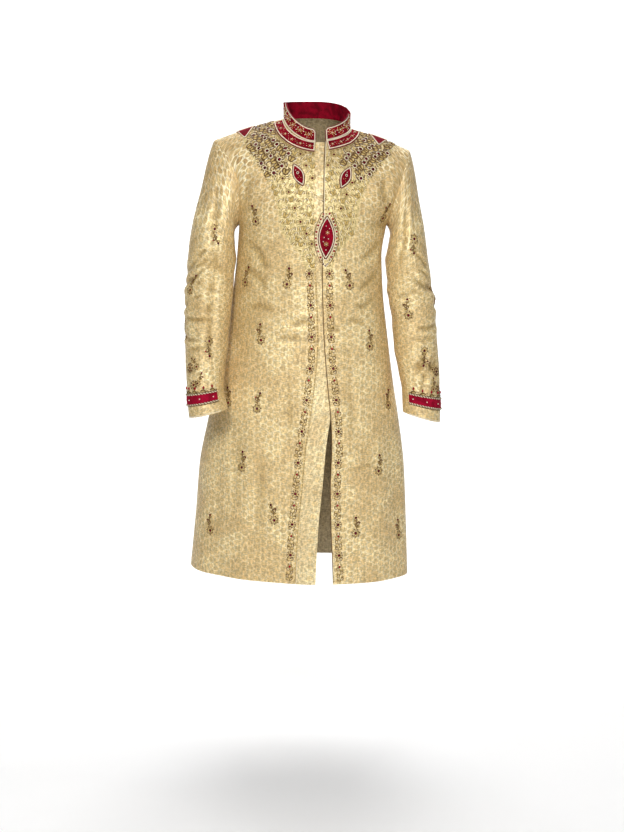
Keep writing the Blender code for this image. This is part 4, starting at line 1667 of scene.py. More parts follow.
@dataclass
class MainPanel:
    """A front or a back of the coat."""

    side: Side
    face: Face
    neck_columns: int = 22
    shoulder_columns: int = 36
    body_rows: int = 165
    yoke_rows: int = 60
    last: float = 0.9995
    side_shade: float = 0.62
    side_start: float = 0.100
    side_run: float = 0.085
    waist_top: float = -0.10
    waist_top_run: float = 0.12
    waist_low: float = -0.60
    waist_low_run: float = 0.16

    def grid(self) -> ClothGrid:
        """The panel's points, shaded at the sides of the chest and the waist.

        Returns:
            The grid.
        """
        neck = np.linspace(0.0, FORM.neck_share, self.neck_columns)
        across = joined(neck, np.linspace(FORM.neck_share, 1.0 - HALF_SEAM, self.shoulder_columns))
        up = joined(np.linspace(0.0, 1.0, self.body_rows), np.linspace(1.0, 1.0 + self.last, self.yoke_rows))
        skin = PanelSurface(self.side, self.face).skin(*np.meshgrid(across, up))
        grid = ClothGrid.under(GOLD_CLOTH, skin, skin[0][:, 0, 0], self.side is Side.RIGHT)
        x, height = grid.outer[..., 0], grid.outer[..., 2]
        low = smooth((height - self.waist_low) / self.waist_low_run)
        waist = low * smooth((self.waist_top - height) / self.waist_top_run)
        sides = smooth((np.abs(x) - self.side_start) / self.side_run)
        grid.shade = np.minimum(1.0, grid.shade + self.side_shade * sides * waist)
        return grid

    def make(self) -> bpy.types.Object:
        """Make the panel, with a worked ground where a front's embroidery lies.

        Returns:
            The piece.
        """
        grid = self.grid()
        if self.face is Face.FRONT:
            grid.worked = YokeWork(self.side).coverage(grid.outer)
        return grid.make(f"{self.face.name.lower()}_{self.side.word}", "hung", ["shoulders"])


@dataclass
class Placket:
    """The plain strip that carries on the right front and closes under the left front."""

    width: float = 0.045
    columns: int = 10
    body_rows: int = 160
    yoke_rows: int = 50
    last: float = 0.9995

    def make(self) -> bpy.types.Object:
        """Make the strip, its rows level with the right front's edge.

        Returns:
            The piece.
        """
        up = joined(np.linspace(0.0, 1.0, self.body_rows), np.linspace(1.0, 1.0 + self.last, self.yoke_rows))
        edge = FORM.panel(Side.RIGHT, Face.FRONT, np.zeros(len(up)), up)
        height = np.where(up <= 1.0, FORM.hem + (FORM.armpit - FORM.hem) * up, edge[:, 2])
        across, height = np.meshgrid(np.linspace(0.0, 1.0, self.columns), height)
        x = FORM.closure(Side.RIGHT, height) + self.width * across
        skin = FrontSurface(Side.RIGHT).skin(x, FORM.level(x, height))
        return ClothGrid.under(PLAIN_CLOTH, skin).make("placket", "hung", ["front_right_cloth"])


@dataclass
class Sleeve:
    """A sleeve of two pieces, with a velvet band round its cuff."""

    side: Side
    fore_seam: float = 7.0 / 18.0
    hind_seam: float = 13.0 / 18.0
    cap_rows: int = 44
    arm_rows: int = 125
    column: float = 0.0100
    band_lift: float = 0.031
    band_width: float = 0.025
    band_inset: float = 0.02
    band_rows: int = 8
    band_columns: int = 56
    arm_length: float = 0.390

    def __post_init__(self) -> None:
        """Keep the sleeve's surface, the share of its length that is a metre, and where the band lies."""
        self.surface = SleeveSurface(self.side)
        self.down = (1.0 - self.surface.cap_share) / self.arm_length
        self.low = 1.0 - self.band_lift * self.down
        self.high = self.low - self.band_width * self.down
        self.band_ends = (self.hind_seam - 1.0 + self.band_inset, self.fore_seam - self.band_inset)

    def piece(self, word: str, first: float, last: float) -> bpy.types.Object:
        """The upper or under piece, between two seams.

        Args:
            word: Which piece it is.
            first: The turn where it starts.
            last: The turn where it ends.

        Returns:
            The piece.
        """
        seam = SEAM_GAP / 2.0 / self.surface.girth
        columns = round((last - first - 2.0 * seam) / self.column) + 1
        cap, arm = (0.0, self.surface.cap_share, self.cap_rows), (self.surface.cap_share, 1.0, self.arm_rows)
        shares = joined(np.linspace(*cap), np.linspace(*arm))
        turns, shares = np.meshgrid(np.linspace(first + seam, last - seam, columns), shares)
        grid = ClothGrid.under(GOLD_CLOTH, self.surface.skin(turns, shares))
        across, along = lengths(grid.outer, 1).sum(axis=1)[:, None], lengths(grid.outer, 0).sum(axis=0).mean()
        turned = (turns - (first + last) / 2.0) / (last - first) * across
        grid.flat = np.stack((turned, -shares * along), axis=-1)
        rests_on = [f"{face.name.lower()}_{self.side.word}_cloth" for face in Face]
        return grid.make(f"sleeve_{word}_{self.side.word}", "hung", rests_on)

    def make(self) -> None:
        """Make the sleeve's two pieces and its band."""
        self.piece("upper", self.hind_seam - 1.0, self.fore_seam)
        self.piece("under", self.fore_seam, self.hind_seam)
        turns = np.linspace(*self.band_ends, self.band_columns)
        shares = np.linspace(self.high, self.low, self.band_rows)
        skin = self.surface.skin(*np.meshgrid(turns, shares), TRIM_TOP)
        grid = ClothGrid.under(CUFF_VELVET, skin, mirror=self.side is Side.RIGHT)
        grid.make(f"cuff_band_{self.side.word}", "laid", [f"sleeve_upper_{self.side.word}_cloth"])


@dataclass
class Collar:
    """The velvet stand and the two velvet bands below its seam."""

    front_height: float = 0.030
    back_height: float = 0.037
    lean: float = 0.005
    growth: float = 1.4
    corner: float = 0.0075
    rows: int = 14
    quarter: int = 26
    band_rows: int = 9
    band_columns: int = 44
    band_width: float = 0.021
    band_inset: float = 0.001
    band_edge_inset: float = 0.002
    band_last: float = 84.0
    seam_up: float = 1.9995           # the neckline, up a panel

    def __post_init__(self) -> None:
        """Keep the stand's foot, its normals, the way out from the neck, its height and its length so far."""
        neck = FORM.neck_share * np.sin(np.linspace(0.0, QUARTER, self.quarter))
        stops = ((Side.RIGHT, Face.FRONT, neck), (Side.RIGHT, Face.BACK, neck[-2::-1]))
        stops += ((Side.LEFT, Face.BACK, neck[1:]), (Side.LEFT, Face.FRONT, neck[-2::-1]))
        skins = [PanelSurface(side, face).skin(across, self.seam_up) for side, face, across in stops]
        points, self.normals = (np.concatenate(part) for part in zip(*skins))
        along = np.gradient(points, axis=0)
        aim = stack(-points[:, 0], -points[:, 1], np.full(len(points), FORM.neck_half))
        out = turned(unit(np.cross(along, self.normals)), aim)
        self.away = turned(unit(stack(along[:, 1], -along[:, 0], 0.0)), points)
        self.run = run_of(points)
        share = 1.0 - np.abs(2.0 * self.run / self.run[-1] - 1.0)
        height = self.front_height + (self.back_height - self.front_height) * smooth(share * self.growth)
        short = np.maximum(0.0, self.corner - np.minimum(self.run, self.run[-1] - self.run))
        self.height = height - self.corner + np.sqrt(self.corner**2 - short**2)
        self.foot = points + out * SEAM_GAP

    def stand(self) -> bpy.types.Object:
        """Make the stand.

        Returns:
            The piece.
        """
        share = np.linspace(0.0, 1.0, self.rows)[:, None]
        rise = stack(0.0, 0.0, self.height * share) - self.away * (self.lean * share)[..., None]
        grid = ClothGrid.under(STAND_VELVET, (self.foot + rise, np.broadcast_to(self.away, rise.shape)))
        grid.inner[0] = self.foot - self.normals * CLOTH
        rests_on = ["front_right_cloth", "front_left_cloth", "back_right_cloth", "back_left_cloth"]
        return grid.make("collar_stand", "hung", rests_on)

    def band_place(self, side: Side, bearing: Array, outset: Array) -> Pair:
        """Place on the front beside the neckline, across and at a level."""
        x = side.value * (FORM.neck_half + outset) * np.sin(bearing)
        return x, FORM.level(x, FORM.neckline(x, Face.FRONT, outset))

    def bearings(self, side: Side) -> tuple[float, float]:
        """The bearings between which a band runs."""
        edge = abs(float(FORM.inner_edge(side, Face.FRONT, FORM.neck_front)))
        return math.asin((edge + self.band_edge_inset) / FORM.neck_half), math.radians(self.band_last)

    def make(self) -> None:
        """Make the stand and its bands."""
        self.stand()
        for side in Side:
            bearing = np.linspace(*self.bearings(side), self.band_columns)
            outset = np.linspace(self.band_inset, self.band_width, self.band_rows)
            skin = FrontSurface(side).skin(*self.band_place(side, *np.meshgrid(bearing, outset)), TRIM_TOP)
            ClothGrid.under(VELVET, skin).make(f"neck_band_{side.word}", "laid", [f"front_{side.word}_cloth"])


@dataclass(frozen=True)
class Patch:
    """A pointed velvet patch on a front."""

    columns, rows = 13, 33

    side: Side
    across: float
    width: float
    gap: float

    def place(self, across: Array, along: Array) -> Pair:
        """Place under the patch, across and at a level, from widths across and shares along."""
        raise NotImplementedError

    def half_width(self, along: Array) -> Array:
        """Half width along the patch, as a share of its greatest width."""
        raise NotImplementedError

    def make(self, name: str) -> bpy.types.Object:
        """Make the patch.

        Args:
            name: The piece's name.

        Returns:
            The piece.
        """
        share, along = np.meshgrid(np.linspace(-1.0, 1.0, self.columns), np.linspace(0.0, 1.0, self.rows))
        x, level = self.place(share * self.half_width(along), along)
        skin = FrontSurface(self.side).skin(x, level, self.gap + TRIM_CLOTH)
        return ClothGrid.under(VELVET, skin).make(name, "laid", [f"front_{self.side.word}_cloth"])


@dataclass(frozen=True)
class ChestPatch(Patch):
    """A patch on the chest, pointed at both ends."""

    height: float
    length: float
    lean: float
    fullness: float = 0.9
    tip: float = 0.05

    def place(self, across: Array, along: Array) -> Pair:
        """Place under the patch, turned by its lean.

        Args:
            across: Widths across the patch.
            along: Shares along it.

        Returns:
            Places across, and their levels.
        """
        lean = math.radians(self.lean)
        up, out = self.length * (along - 0.5), self.width * across
        x = self.across + math.sin(lean) * up + math.cos(lean) * out
        return x, FORM.level(x, self.height + math.cos(lean) * up - math.sin(lean) * out)

    def half_width(self, along: Array) -> Array:
        """Half width, rounded to both points."""
        return 0.5 * np.maximum(self.tip, np.cos(QUARTER * np.abs(2.0 * along - 1.0)) ** self.fullness)

    def outline(self, margin: float = 0.0, count: int = 40) -> Pair:
        """Places round the patch's edge, moved out by a margin.

        Args:
            margin: How far the places move out.
            count: How many places a side has.

        Returns:
            Places across, and their levels.
        """
        along = 0.5 - 0.5 * np.cos(np.linspace(0.0, math.pi, count))
        half = self.half_width(along) + margin / self.width
        along = 0.5 + (along - 0.5) * (1.0 + 2.0 * margin / self.length)
        return self.place(np.concatenate((half, -half[::-1])), np.concatenate((along, along[::-1])))

    def covers(self, x: float, height: float, margin: float) -> bool:
        """Whether a place lies under the patch or within a margin of it.

        Args:
            x: The place across the body.
            height: Its height.
            margin: How far outside the patch still counts.

        Returns:
            Whether the place is taken.
        """
        lean = math.radians(self.lean)
        right, up = x - self.across, height - self.height
        along = (math.sin(lean) * right + math.cos(lean) * up) / self.length
        across = (math.cos(lean) * right - math.sin(lean) * up) / self.width
        half = self.half_width(np.clip(along + 0.5, 0.0, 1.0)) + margin / self.width
        return bool(abs(across) < half and abs(along) < 0.5 + margin / self.length)


@dataclass(frozen=True)
class ShoulderPatch(Patch):
    """A patch on top of a shoulder, pointed at the front, between two angles of the climb."""

    first: float
    last: float
    fullness: float = 0.7
    tip: float = 0.08

    def place(self, across: Array, along: Array) -> Pair:
        """Place under the patch, up the shoulder.

        Args:
            across: Widths across the patch.
            along: Shares along it.

        Returns:
            Places across, and their levels.
        """
        angle = self.first + (self.last - self.first) * along
        x = self.side.value * (self.across + self.width * across)
        return x, FORM.armpit + angle / 90.0 * FORM.yoke_climb

    def half_width(self, along: Array) -> Array:
        """Half width, widening from the point."""
        return 0.5 * np.maximum(self.tip, along**self.fullness)

    def covers(self, x: float, angle: float, margin: float) -> bool:
        """Whether a place lies under the patch or within a margin of it.

        Args:
            x: The place across the body.
            angle: Its angle of the climb, in degrees.
            margin: How far outside the patch still counts.

        Returns:
            Whether the place is taken.
        """
        along = (angle - self.first) / (self.last - self.first)
        half = float(self.half_width(min(1.0, max(0.0, along)))) + margin / self.width
        reach = margin / (FORM.yoke_climb * (self.last - self.first) / 90.0)
        return abs(self.side.value * x - self.across) / self.width < half and -reach < along < 1.0 + reach


CHEST_PATCHES = {
    "chest_marquise": ChestPatch(Side.LEFT, 0.0205, 0.033, TRIM_GAP + 0.0004, -0.268, 0.092, 2.0),
    "chest_leaf_right": ChestPatch(Side.RIGHT, -0.0420, 0.022, TRIM_GAP, -0.128, 0.050, -24.0),
    "chest_leaf_left": ChestPatch(Side.LEFT, 0.0640, 0.022, TRIM_GAP, -0.134, 0.050, 24.0),
}
SHOULDER_PATCHES = {
    "shoulder_patch_right": ShoulderPatch(Side.RIGHT, 0.165, 0.044, TRIM_GAP, 64.0, 84.0),
    "shoulder_patch_left": ShoulderPatch(Side.LEFT, 0.141, 0.044, TRIM_GAP, 64.0, 84.0),
}


# ---------------------------------------------------------------- needlework

MM = 0.001


class Bead(Enum):
    """The small shapes that are sewn on."""

    ROUND = "round"
    STONE = "stone"
    PETAL = "petal"
    LEAF = "leaf"
    DROP = "drop"


class Shaping(NamedTuple):
    """How a long bead is shaped: its thickness, its width at the foot, what the width gains, and its bend."""

    height: float
    foot: float
    gain: float
    bend: float


LONG_BEADS = {
    Bead.PETAL: Shaping(0.34, 0.45, 0.75, 0.0),
    Bead.LEAF: Shaping(0.24, 1.0, 0.0, 0.12),
    Bead.DROP: Shaping(0.55, 1.15, -0.75, 0.0),
}
FLAT_BEADS = {Bead.ROUND: (0.78, 0.45), Bead.STONE: (0.8, 0.25)}    # height and lift


def select_all_in_edit_mode() -> None:
    """Open the new shape with all of it selected."""
    bpy.ops.object.mode_set(mode="EDIT")
    bpy.ops.mesh.select_all(action="SELECT")


def cut_stone() -> None:
    """A stone's crown, with its girdle drawn down to the cloth."""
    bpy.ops.mesh.primitive_cone_add(vertices=8, radius1=1.0, radius2=0.62, depth=0.42, location=(0, 0, 0.33))
    bpy.ops.object.mode_set(mode="EDIT")
    bpy.ops.mesh.select_all(action="DESELECT")
    bpy.ops.object.mode_set(mode="OBJECT")
    for polygon in bpy.context.object.data.polygons:
        polygon.select = polygon.normal.z < -0.9
    bpy.ops.object.mode_set(mode="EDIT")
    bpy.ops.mesh.extrude_region_move(TRANSFORM_OT_translate={"value": (0.0, 0.0, -0.35)})
    bpy.ops.object.mode_set(mode="OBJECT")


def modelled(kind: Bead) -> Pair:
    """Model one small shape, lying on the plane with its length along X.

    Args:
        kind: The shape.

    Returns:
        Its points and its faces as triangles.
    """
    bpy.ops.object.select_all(action="DESELECT")
    if kind is Bead.STONE:
        cut_stone()
    else:
        rings = 4 if kind is Bead.ROUND else 6
        bpy.ops.mesh.primitive_uv_sphere_add(segments=6, ring_count=rings, radius=1.0)
    shape, middle = bpy.context.object, (0.0, 0.0, 0.0)
    select_all_in_edit_mode()
    if kind in LONG_BEADS:
        shaping = LONG_BEADS[kind]
        bpy.ops.transform.rotate(value=QUARTER, orient_axis="Y", center_override=middle)
        bpy.ops.transform.resize(value=(0.5, 0.5, shaping.height), center_override=middle)
        bpy.ops.transform.translate(value=(0.5, 0.0, 0.06))
        bpy.ops.object.mode_set(mode="OBJECT")
        for vertex in shape.data.vertices:
            vertex.co.y *= shaping.foot + shaping.gain * vertex.co.x
            vertex.co.y += shaping.bend * math.sin(math.pi * vertex.co.x)
    else:
        height, lift = FLAT_BEADS[kind]
        bpy.ops.transform.resize(value=(1.0, 1.0, height), center_override=middle)
        bpy.ops.transform.translate(value=(0.0, 0.0, lift))
        bpy.ops.object.mode_set(mode="OBJECT")
    select_all_in_edit_mode()
    bpy.ops.mesh.quads_convert_to_tris()
    bpy.ops.mesh.normals_make_consistent(inside=False)
    bpy.ops.object.mode_set(mode="OBJECT")
    mesh = shape.data
    points = np.array([vertex.co[:] for vertex in mesh.vertices])
    faces = np.array([face.vertices[:] for face in mesh.polygons])
    bpy.data.objects.remove(shape)
    bpy.data.meshes.remove(mesh)
    return points, faces


class Line(NamedTuple):
    """A cord of a motif, drawn flat in millimetres; its ends narrow to a share of its radius."""

    points: Array
    radius: float
    thread: Thread
    taper: float = 1.0


class Spot(NamedTuple):
    """A bead, stone or petal of a motif, placed flat in millimetres."""

    kind: Bead
    at: tuple[float, float]
    size: float
    thread: Thread
    heading: float = 0.0
    width: Optional[float] = None


def polar(way: float, reach: float, at: Sequence[float] = (0.0, 0.0)) -> tuple[float, float]:
    """A flat place at a bearing and a distance from another."""
    return at[0] + reach * math.cos(way), at[1] + reach * math.sin(way)


@dataclass
class Motif:
    """An embroidered figure, drawn flat in millimetres with Y up."""

    curl_count, curl_tightening, curl_taper = 10, 1.6, 0.55
    rim, rim_radius, rim_count = 0.75, 0.5, 11
    petal_width = 0.72

    lines: list[Line] = field(default_factory=list)
    spots: list[Spot] = field(default_factory=list)

    def cord(self, points: Sequence, radius: float, thread: Thread, taper: float = 1.0) -> "Motif":
        """Lay a cord."""
        self.lines.append(Line(np.array(points, dtype=float), radius, thread, taper))
        return self

    def spot(self, *spot: object) -> "Motif":
        """Sew on a small shape; a petal or leaf has its length as its size."""
        self.spots.append(Spot(*spot))
        return self

    def curl(self, at: Sequence[float], heading: float, length: float, bend: float, radius: float,
             thread: Thread) -> "Motif":
        """Lay a cord that curls tighter towards its end.

        Args:
            at: Where it starts.
            heading: Its first direction, in degrees.
            length: Its length.
            bend: How far it turns in all, in degrees.
            radius: Its radius.
            thread: What it is worked in.

        Returns:
            The motif.
        """
        share = (np.arange(self.curl_count) + 0.5) / self.curl_count
        angle = np.radians(heading + bend * share**self.curl_tightening)
        steps = np.stack((np.cos(angle), np.sin(angle)), axis=-1) * length / self.curl_count
        points = np.concatenate(([(0.0, 0.0)], np.cumsum(steps, axis=0))) + at
        return self.cord(points, radius, thread, self.curl_taper)

    def ring(self, at: Sequence[float], size: float, radius: float, thread: Thread,
             count: int = 13) -> "Motif":
        """Lay a cord in a circle."""
        return self.cord([polar(way, size, at) for way in np.linspace(0.0, TURN, count)], radius, thread)

    def set_stone(self, at: Sequence[float], size: float) -> "Motif":
        """Sew on a dark stone in a pale rim."""
        self.spot(Bead.STONE, at, size, Thread.DARK_STONE)
        return self.ring(at, size + self.rim, self.rim_radius, Thread.CREAM, self.rim_count)

    def flower(self, at: Sequence[float], petals: int, inner: float, outer: float, thread: Thread,
               turn: float) -> "Motif":
        """Sew petals in a ring.

        Args:
            at: Its middle.
            petals: How many petals it has.
            inner: Where they start.
            outer: Where they end.
            thread: What it is worked in.
            turn: The first petal's direction, in degrees.

        Returns:
            The motif.
        """
        for number in range(petals):
            heading = turn + 360.0 * number / petals
            start = polar(math.radians(heading), inner, at)
            self.spot(Bead.PETAL, start, outer - inner, thread, heading, (outer - inner) * self.petal_width)
        return self


@dataclass(frozen=True)
class Place:
    """Where and how a motif is worked on a surface: turned, sized and mirrored."""

    surface: Surface
    u: float
    v: float
    turn: float = 0.0
    scale: float = 1.0
    mirror: bool = False
    lift: float = 0.0
    reach: float = 4.0                # over how many of the surface's steps its slope is measured
    level_least: float = 0.2          # where the cloth lies flatter than this, the motif follows its rows

    def map(self, flat: Array) -> tuple[Array, Array, Array]:
        """Carry flat millimetres onto the cloth.

        Args:
            flat: The motif's points.

        Returns:
            The points, the outward directions and the motif's own X directions.
        """
        flat = flat * self.scale * MM * ((-1.0, 1.0) if self.mirror else (1.0, 1.0))
        way = math.radians(self.turn)
        right = flat[:, 0] * math.cos(way) - flat[:, 1] * math.sin(way)
        up = flat[:, 0] * math.sin(way) + flat[:, 1] * math.cos(way)
        reach = self.surface.step * self.reach
        cross = np.array(((reach, -reach, 0.0, 0.0), (0.0, 0.0, reach, -reach)))
        here = self.surface.base(self.u + cross[0], self.v + cross[1])
        tangent_u, tangent_v = (here[0] - here[1]) / (2.0 * reach), (here[2] - here[3]) / (2.0 * reach)
        normal = self.surface.normals(np.array([self.u]), np.array([self.v]))[0]
        level = np.cross(UP, normal)
        first = unit(level if np.linalg.norm(level) > self.level_least else tangent_u)
        second = np.cross(normal, first)
        matrix = np.array(((tangent_u @ first, tangent_v @ first), (tangent_u @ second, tangent_v @ second)))
        moved = np.linalg.solve(matrix, np.stack((right, up)))
        points, normals = self.surface.skin(self.u + moved[0], self.v + moved[1], self.lift)
        return points, normals, np.broadcast_to(first * math.cos(way) + second * math.sin(way), points.shape)


class Track:
    """A line of points with outward directions, measured along its length."""

    def __init__(self, points: Array, normals: Array) -> None:
        """Keep the line and measure it."""
        self.points, self.normals, self.run = points, normals, run_of(points)

    def every(self, pitch: float, margin: float = 0.0) -> Array:
        """Distances at about a pitch, the same margin left at both ends."""
        count = max(2, round((self.run[-1] - 2.0 * margin) / pitch) + 1)
        return np.linspace(margin, self.run[-1] - margin, count)

    def at(self, stops: Array) -> Pair:
        """Points and normals at distances along the line.

        Args:
            stops: Distances from the line's start.

        Returns:
            The points and the normals.
        """
        points, normals = (
            np.stack([np.interp(stops, self.run, rows[:, axis]) for axis in range(3)], axis=-1)
            for rows in (self.points, self.normals)
        )
        return points, unit(normals)


class Course(Track):
    """A line followed over a surface."""

    def __init__(self, surface: Surface, u: Array, v: Array, lift: float = 0.0) -> None:
        """Keep the line's places.

        Args:
            surface: The surface.
            u: Places across or round the cloth.
            v: Places up or along the cloth.
            lift: How high it lies over the panel.
        """
        self.surface, self.lift = surface, lift
        self.u, self.v = paired(u, v)
        super().__init__(*surface.skin(self.u, self.v, lift))

    def place(self, stop: float, turn: float = 0.0) -> Place:
        """The place at a distance along the line."""
        u, v = (float(np.interp(stop, self.run, values)) for values in (self.u, self.v))
        return Place(self.surface, u, v, turn, lift=self.lift)


class Needlework:
    """Gathers the embroidery of one region and makes it one piece."""

    templates: dict[Bead, Pair] = {}
    fullness = 1.4
    cord_rise, couch_rise = 0.45, 0.5    # how high a cord's middle lies, in radii
    end_share = 4.0                      # a cord narrows over the last quarter
    braid_steps, braid_rise, braid_swing, braid_strand = 5.0, 1.1, 0.8, 0.85

    def __init__(self, name: str) -> None:
        """Keep the piece's name.

        Args:
            name: The piece's name.
        """
        self.name = name
        self.threads: list[Thread] = []
        self.lines: list[tuple[Array, Array, int]] = []
        self.points: list[Array] = []
        self.faces: list[Array] = []
        self.slots: list[Array] = []
        self.count = 0

    def slot_of(self, thread: Thread) -> int:
        """The material slot of a thread.

        Args:
            thread: What it is worked in.

        Returns:
            The slot's number.
        """
        if thread not in self.threads:
            self.threads.append(thread)
        return self.threads.index(thread)

    def work(self, motif: Motif, place: Place) -> None:
        """Work a motif at a place.

        Args:
            motif: The motif.
            place: Where and how it is worked.
        """
        flats = [line.points for line in motif.lines]
        if motif.spots:
            flats.append(np.array([spot.at for spot in motif.spots]))
        points, normals, ways = place.map(np.concatenate(flats))
        at = 0
        for line in motif.lines:
            some = slice(at, at + len(line.points))
            raised = points[some] + normals[some] * line.radius * self.cord_rise * place.scale * MM
            self.lay(raised, line, place.scale)
            at += len(line.points)
        for number, spot in enumerate(motif.spots, at):
            if place.mirror:
                spot = spot._replace(heading=180.0 - spot.heading)
            self.sew(spot, points[number], normals[number], ways[number], place.scale)

    def lay(self, points: Array, line: Line, scale: float = 1.0) -> None:
        """Lay a cord along points.

        Args:
            points: Points of its middle.
            line: The cord that sets its radius, thread and taper.
            scale: The motif's scale.
        """
        share = np.linspace(0.0, 1.0, len(points))
        inward = np.minimum(1.0, self.end_share * np.minimum(share, 1.0 - share))
        radii = line.radius * self.fullness * scale * MM * (line.taper + (1.0 - line.taper) * inward)
        self.lines.append((points, radii, self.slot_of(line.thread)))

    def sew(self, spot: Spot, point: Array, normal: Array, way: Array, scale: float = 1.0) -> None:
        """Sew on one small shape.

        Args:
            spot: The shape.
            point: Where it sits.
            normal: The cloth's outward direction there.
            way: The motif's own X direction there.
            scale: The motif's scale.
        """
        if spot.kind not in self.templates:
            self.templates[spot.kind] = modelled(spot.kind)
        shape, faces = self.templates[spot.kind]
        first = unit(way - normal * (way @ normal))
        turn = math.radians(spot.heading)
        along = first * math.cos(turn) + np.cross(normal, first) * math.sin(turn)
        size, width = spot.size * scale * MM, (spot.width or spot.size) * scale * MM
        axes = np.stack((along * size, np.cross(normal, along) * width, normal * width))
        self.points.append(point + shape @ axes)
        self.faces.append(faces + self.count)
        self.slots.append(np.full(len(faces), self.slot_of(spot.thread), dtype=np.int32))
        self.count += len(shape)

    def couch(self, track: Track, radius: float, thread: Thread, pitch: float = 0.004) -> None:
        """Lay a cord along a track, its radius in millimetres."""
        points, normals = track.at(track.every(pitch))
        self.lay(points + normals * radius * self.couch_rise * MM, Line(points, radius, thread))

    def braid(self, track: Track, radius: float, threads: Sequence[Thread], pitch: float = 0.0065) -> None:
        """Lay cords twisted round each other along a track.

        Args:
            track: The line to follow.
            radius: Radius of its cords, in millimetres.
            threads: What each cord is worked in.
            pitch: Length of one twist.
        """
        points, normals = track.at(track.every(pitch / self.braid_steps))
        beside = unit(np.cross(normals, np.gradient(points, axis=0)))
        angle = np.arange(len(points)) * TURN / self.braid_steps
        for number, thread in enumerate(threads):
            phase = angle + TURN * number / len(threads)
            rise = self.braid_rise + self.braid_swing * np.sin(phase)
            off = beside * np.cos(phase)[:, None] + normals * rise[:, None]
            self.lay(points + off * radius * MM, Line(points, radius * self.braid_strand, thread))

    def string(self, track: Track, stops: Array, turns: Sequence[tuple[float, Thread]],
               way: Optional[Array] = None) -> None:
        """Sew beads and stones along a track, by turns of the sizes given in millimetres.

        Args:
            track: The line to follow.
            stops: Distances along it.
            turns: Sizes and threads, used by turns.
            way: The stones' own X direction; level when left out.
        """
        points, normals = track.at(stops)
        for number, (point, normal) in enumerate(zip(points, normals)):
            size, thread = turns[number % len(turns)]
            kind = Bead.STONE if isinstance(thread.value, StoneFinish) else Bead.ROUND
            level = np.cross(normal, UP) if way is None else way
            self.sew(Spot(kind, (0.0, 0.0), size, thread), point, normal, level)

    def dash(self, track: Track, radius: float, thread: Thread, stitch: float, gap: float) -> None:
        """Lay running stitches along a track.

        Args:
            track: The line to follow.
            radius: Radius of its cords, in millimetres.
            thread: What it is worked in.
            stitch: Length of a stitch.
            gap: Length between two stitches.
        """
        stop = 0.0
        while stop + stitch < track.run[-1]:
            points, _ = track.at(np.linspace(stop, stop + stitch, 4))
            self.lay(points, Line(points, radius, thread, 0.5))
            stop += stitch + gap

    def dyed(self, data: bpy.types.ID) -> bpy.types.ID:
        """Give a shape the materials of the threads.

        Args:
            data: The mesh or curve.

        Returns:
            The same mesh or curve.
        """
        for thread in self.threads:
            data.materials.append(thread.value.material())
        return data

    def make(self) -> bpy.types.Object:
        """Make the piece from its cords and its small shapes.

        Returns:
            The piece.
        """
        bpy.ops.object.select_all(action="DESELECT")
        kinds = []
        if self.points:
            mesh = self.dyed(bpy.data.meshes.new(self.name))
            mesh.from_pydata(np.concatenate(self.points).tolist(), [], np.concatenate(self.faces).tolist())
            mesh.polygons.foreach_set("material_index", np.concatenate(self.slots))
            kinds.append(mesh)
        if self.lines:
            curve = self.dyed(bpy.data.curves.new(self.name, "CURVE"))
            curve.dimensions, curve.bevel_depth, curve.bevel_resolution = "3D", 1.0, 0
            curve.use_fill_caps = True
            for points, radii, slot in self.lines:
                spline = curve.splines.new("POLY")
                spline.points.add(len(points) - 1)
                spline.points.foreach_set("co", np.column_stack((points, np.ones(len(points)))).reshape(-1))
                spline.points.foreach_set("radius", radii)
                spline.material_index = slot
            kinds.append(curve)
        for data in kinds:
            part = link(self.name, data)
            part.select_set(True)
            bpy.context.view_layer.objects.active = part
        bpy.ops.object.convert(target="MESH")
        if len(kinds) > 1:
            bpy.ops.object.join()
        piece = bpy.context.object
        piece.name = self.name
        piece.data.shade_smooth()
        piece.data.set_sharp_from_angle(angle=BEAD_CRISP)
        return settle(piece)


# ---------------------------------------------------------------- embroidered figures


def drop_loop(width: float, length: float, count: int = 17) -> Array:
    """A drop-shaped loop that hangs from its point."""
    angle = np.linspace(0.0, TURN, count)
    across = width * np.sin(angle) * np.sin(angle / 2.0)
    return np.stack((across, length * (np.cos(angle) - 1.0) / 2.0), axis=-1)


def leaf_outline(length: float, width: float, bend: float, count: int = 13, fullness: float = 0.8) -> Array:
    """A pointed leaf's outline from its foot, Y along it.

    Args:
        length: The leaf's length.
        width: Its greatest width.
        bend: How far its point leans.
        count: How many points a side has.
        fullness: How fast it narrows to its points, less for later.

    Returns:
        The outline.
    """
    along = np.concatenate((np.linspace(0.0, 1.0, count), np.linspace(1.0, 0.0, count)[1:]))
    half = width / 2.0 * np.sin(math.pi * along) ** fullness
    sign = np.where(np.arange(len(along)) < count, 1.0, -1.0)
    return np.stack((sign * half + bend * np.sin(math.pi * along / 2.0), length * along), axis=-1)


def blossom(stone: float, reach: float, petals: int, thread: Thread,
            at: Sequence[float] = (0.0, 0.0)) -> Motif:
    """A flower round a dark stone, with a bead between its petals.

    Args:
        stone: The stone's radius.
        reach: How far the petals reach.
        petals: How many there are.
        thread: What they are worked in.
        at: Its middle.

    Returns:
        The motif.
    """
    made = Motif().spot(Bead.STONE, at, stone, Thread.DARK_STONE).ring(at, stone + 0.9, 0.4, Thread.GOLD)
    made.flower(at, petals, stone + 1.2, reach, thread, 90.0)
    for number in range(petals):
        way = math.radians(90.0 + 360.0 * (number + 0.5) / petals)
        made.spot(Bead.ROUND, polar(way, reach, at), 0.9, Thread.BRONZE)
    return made


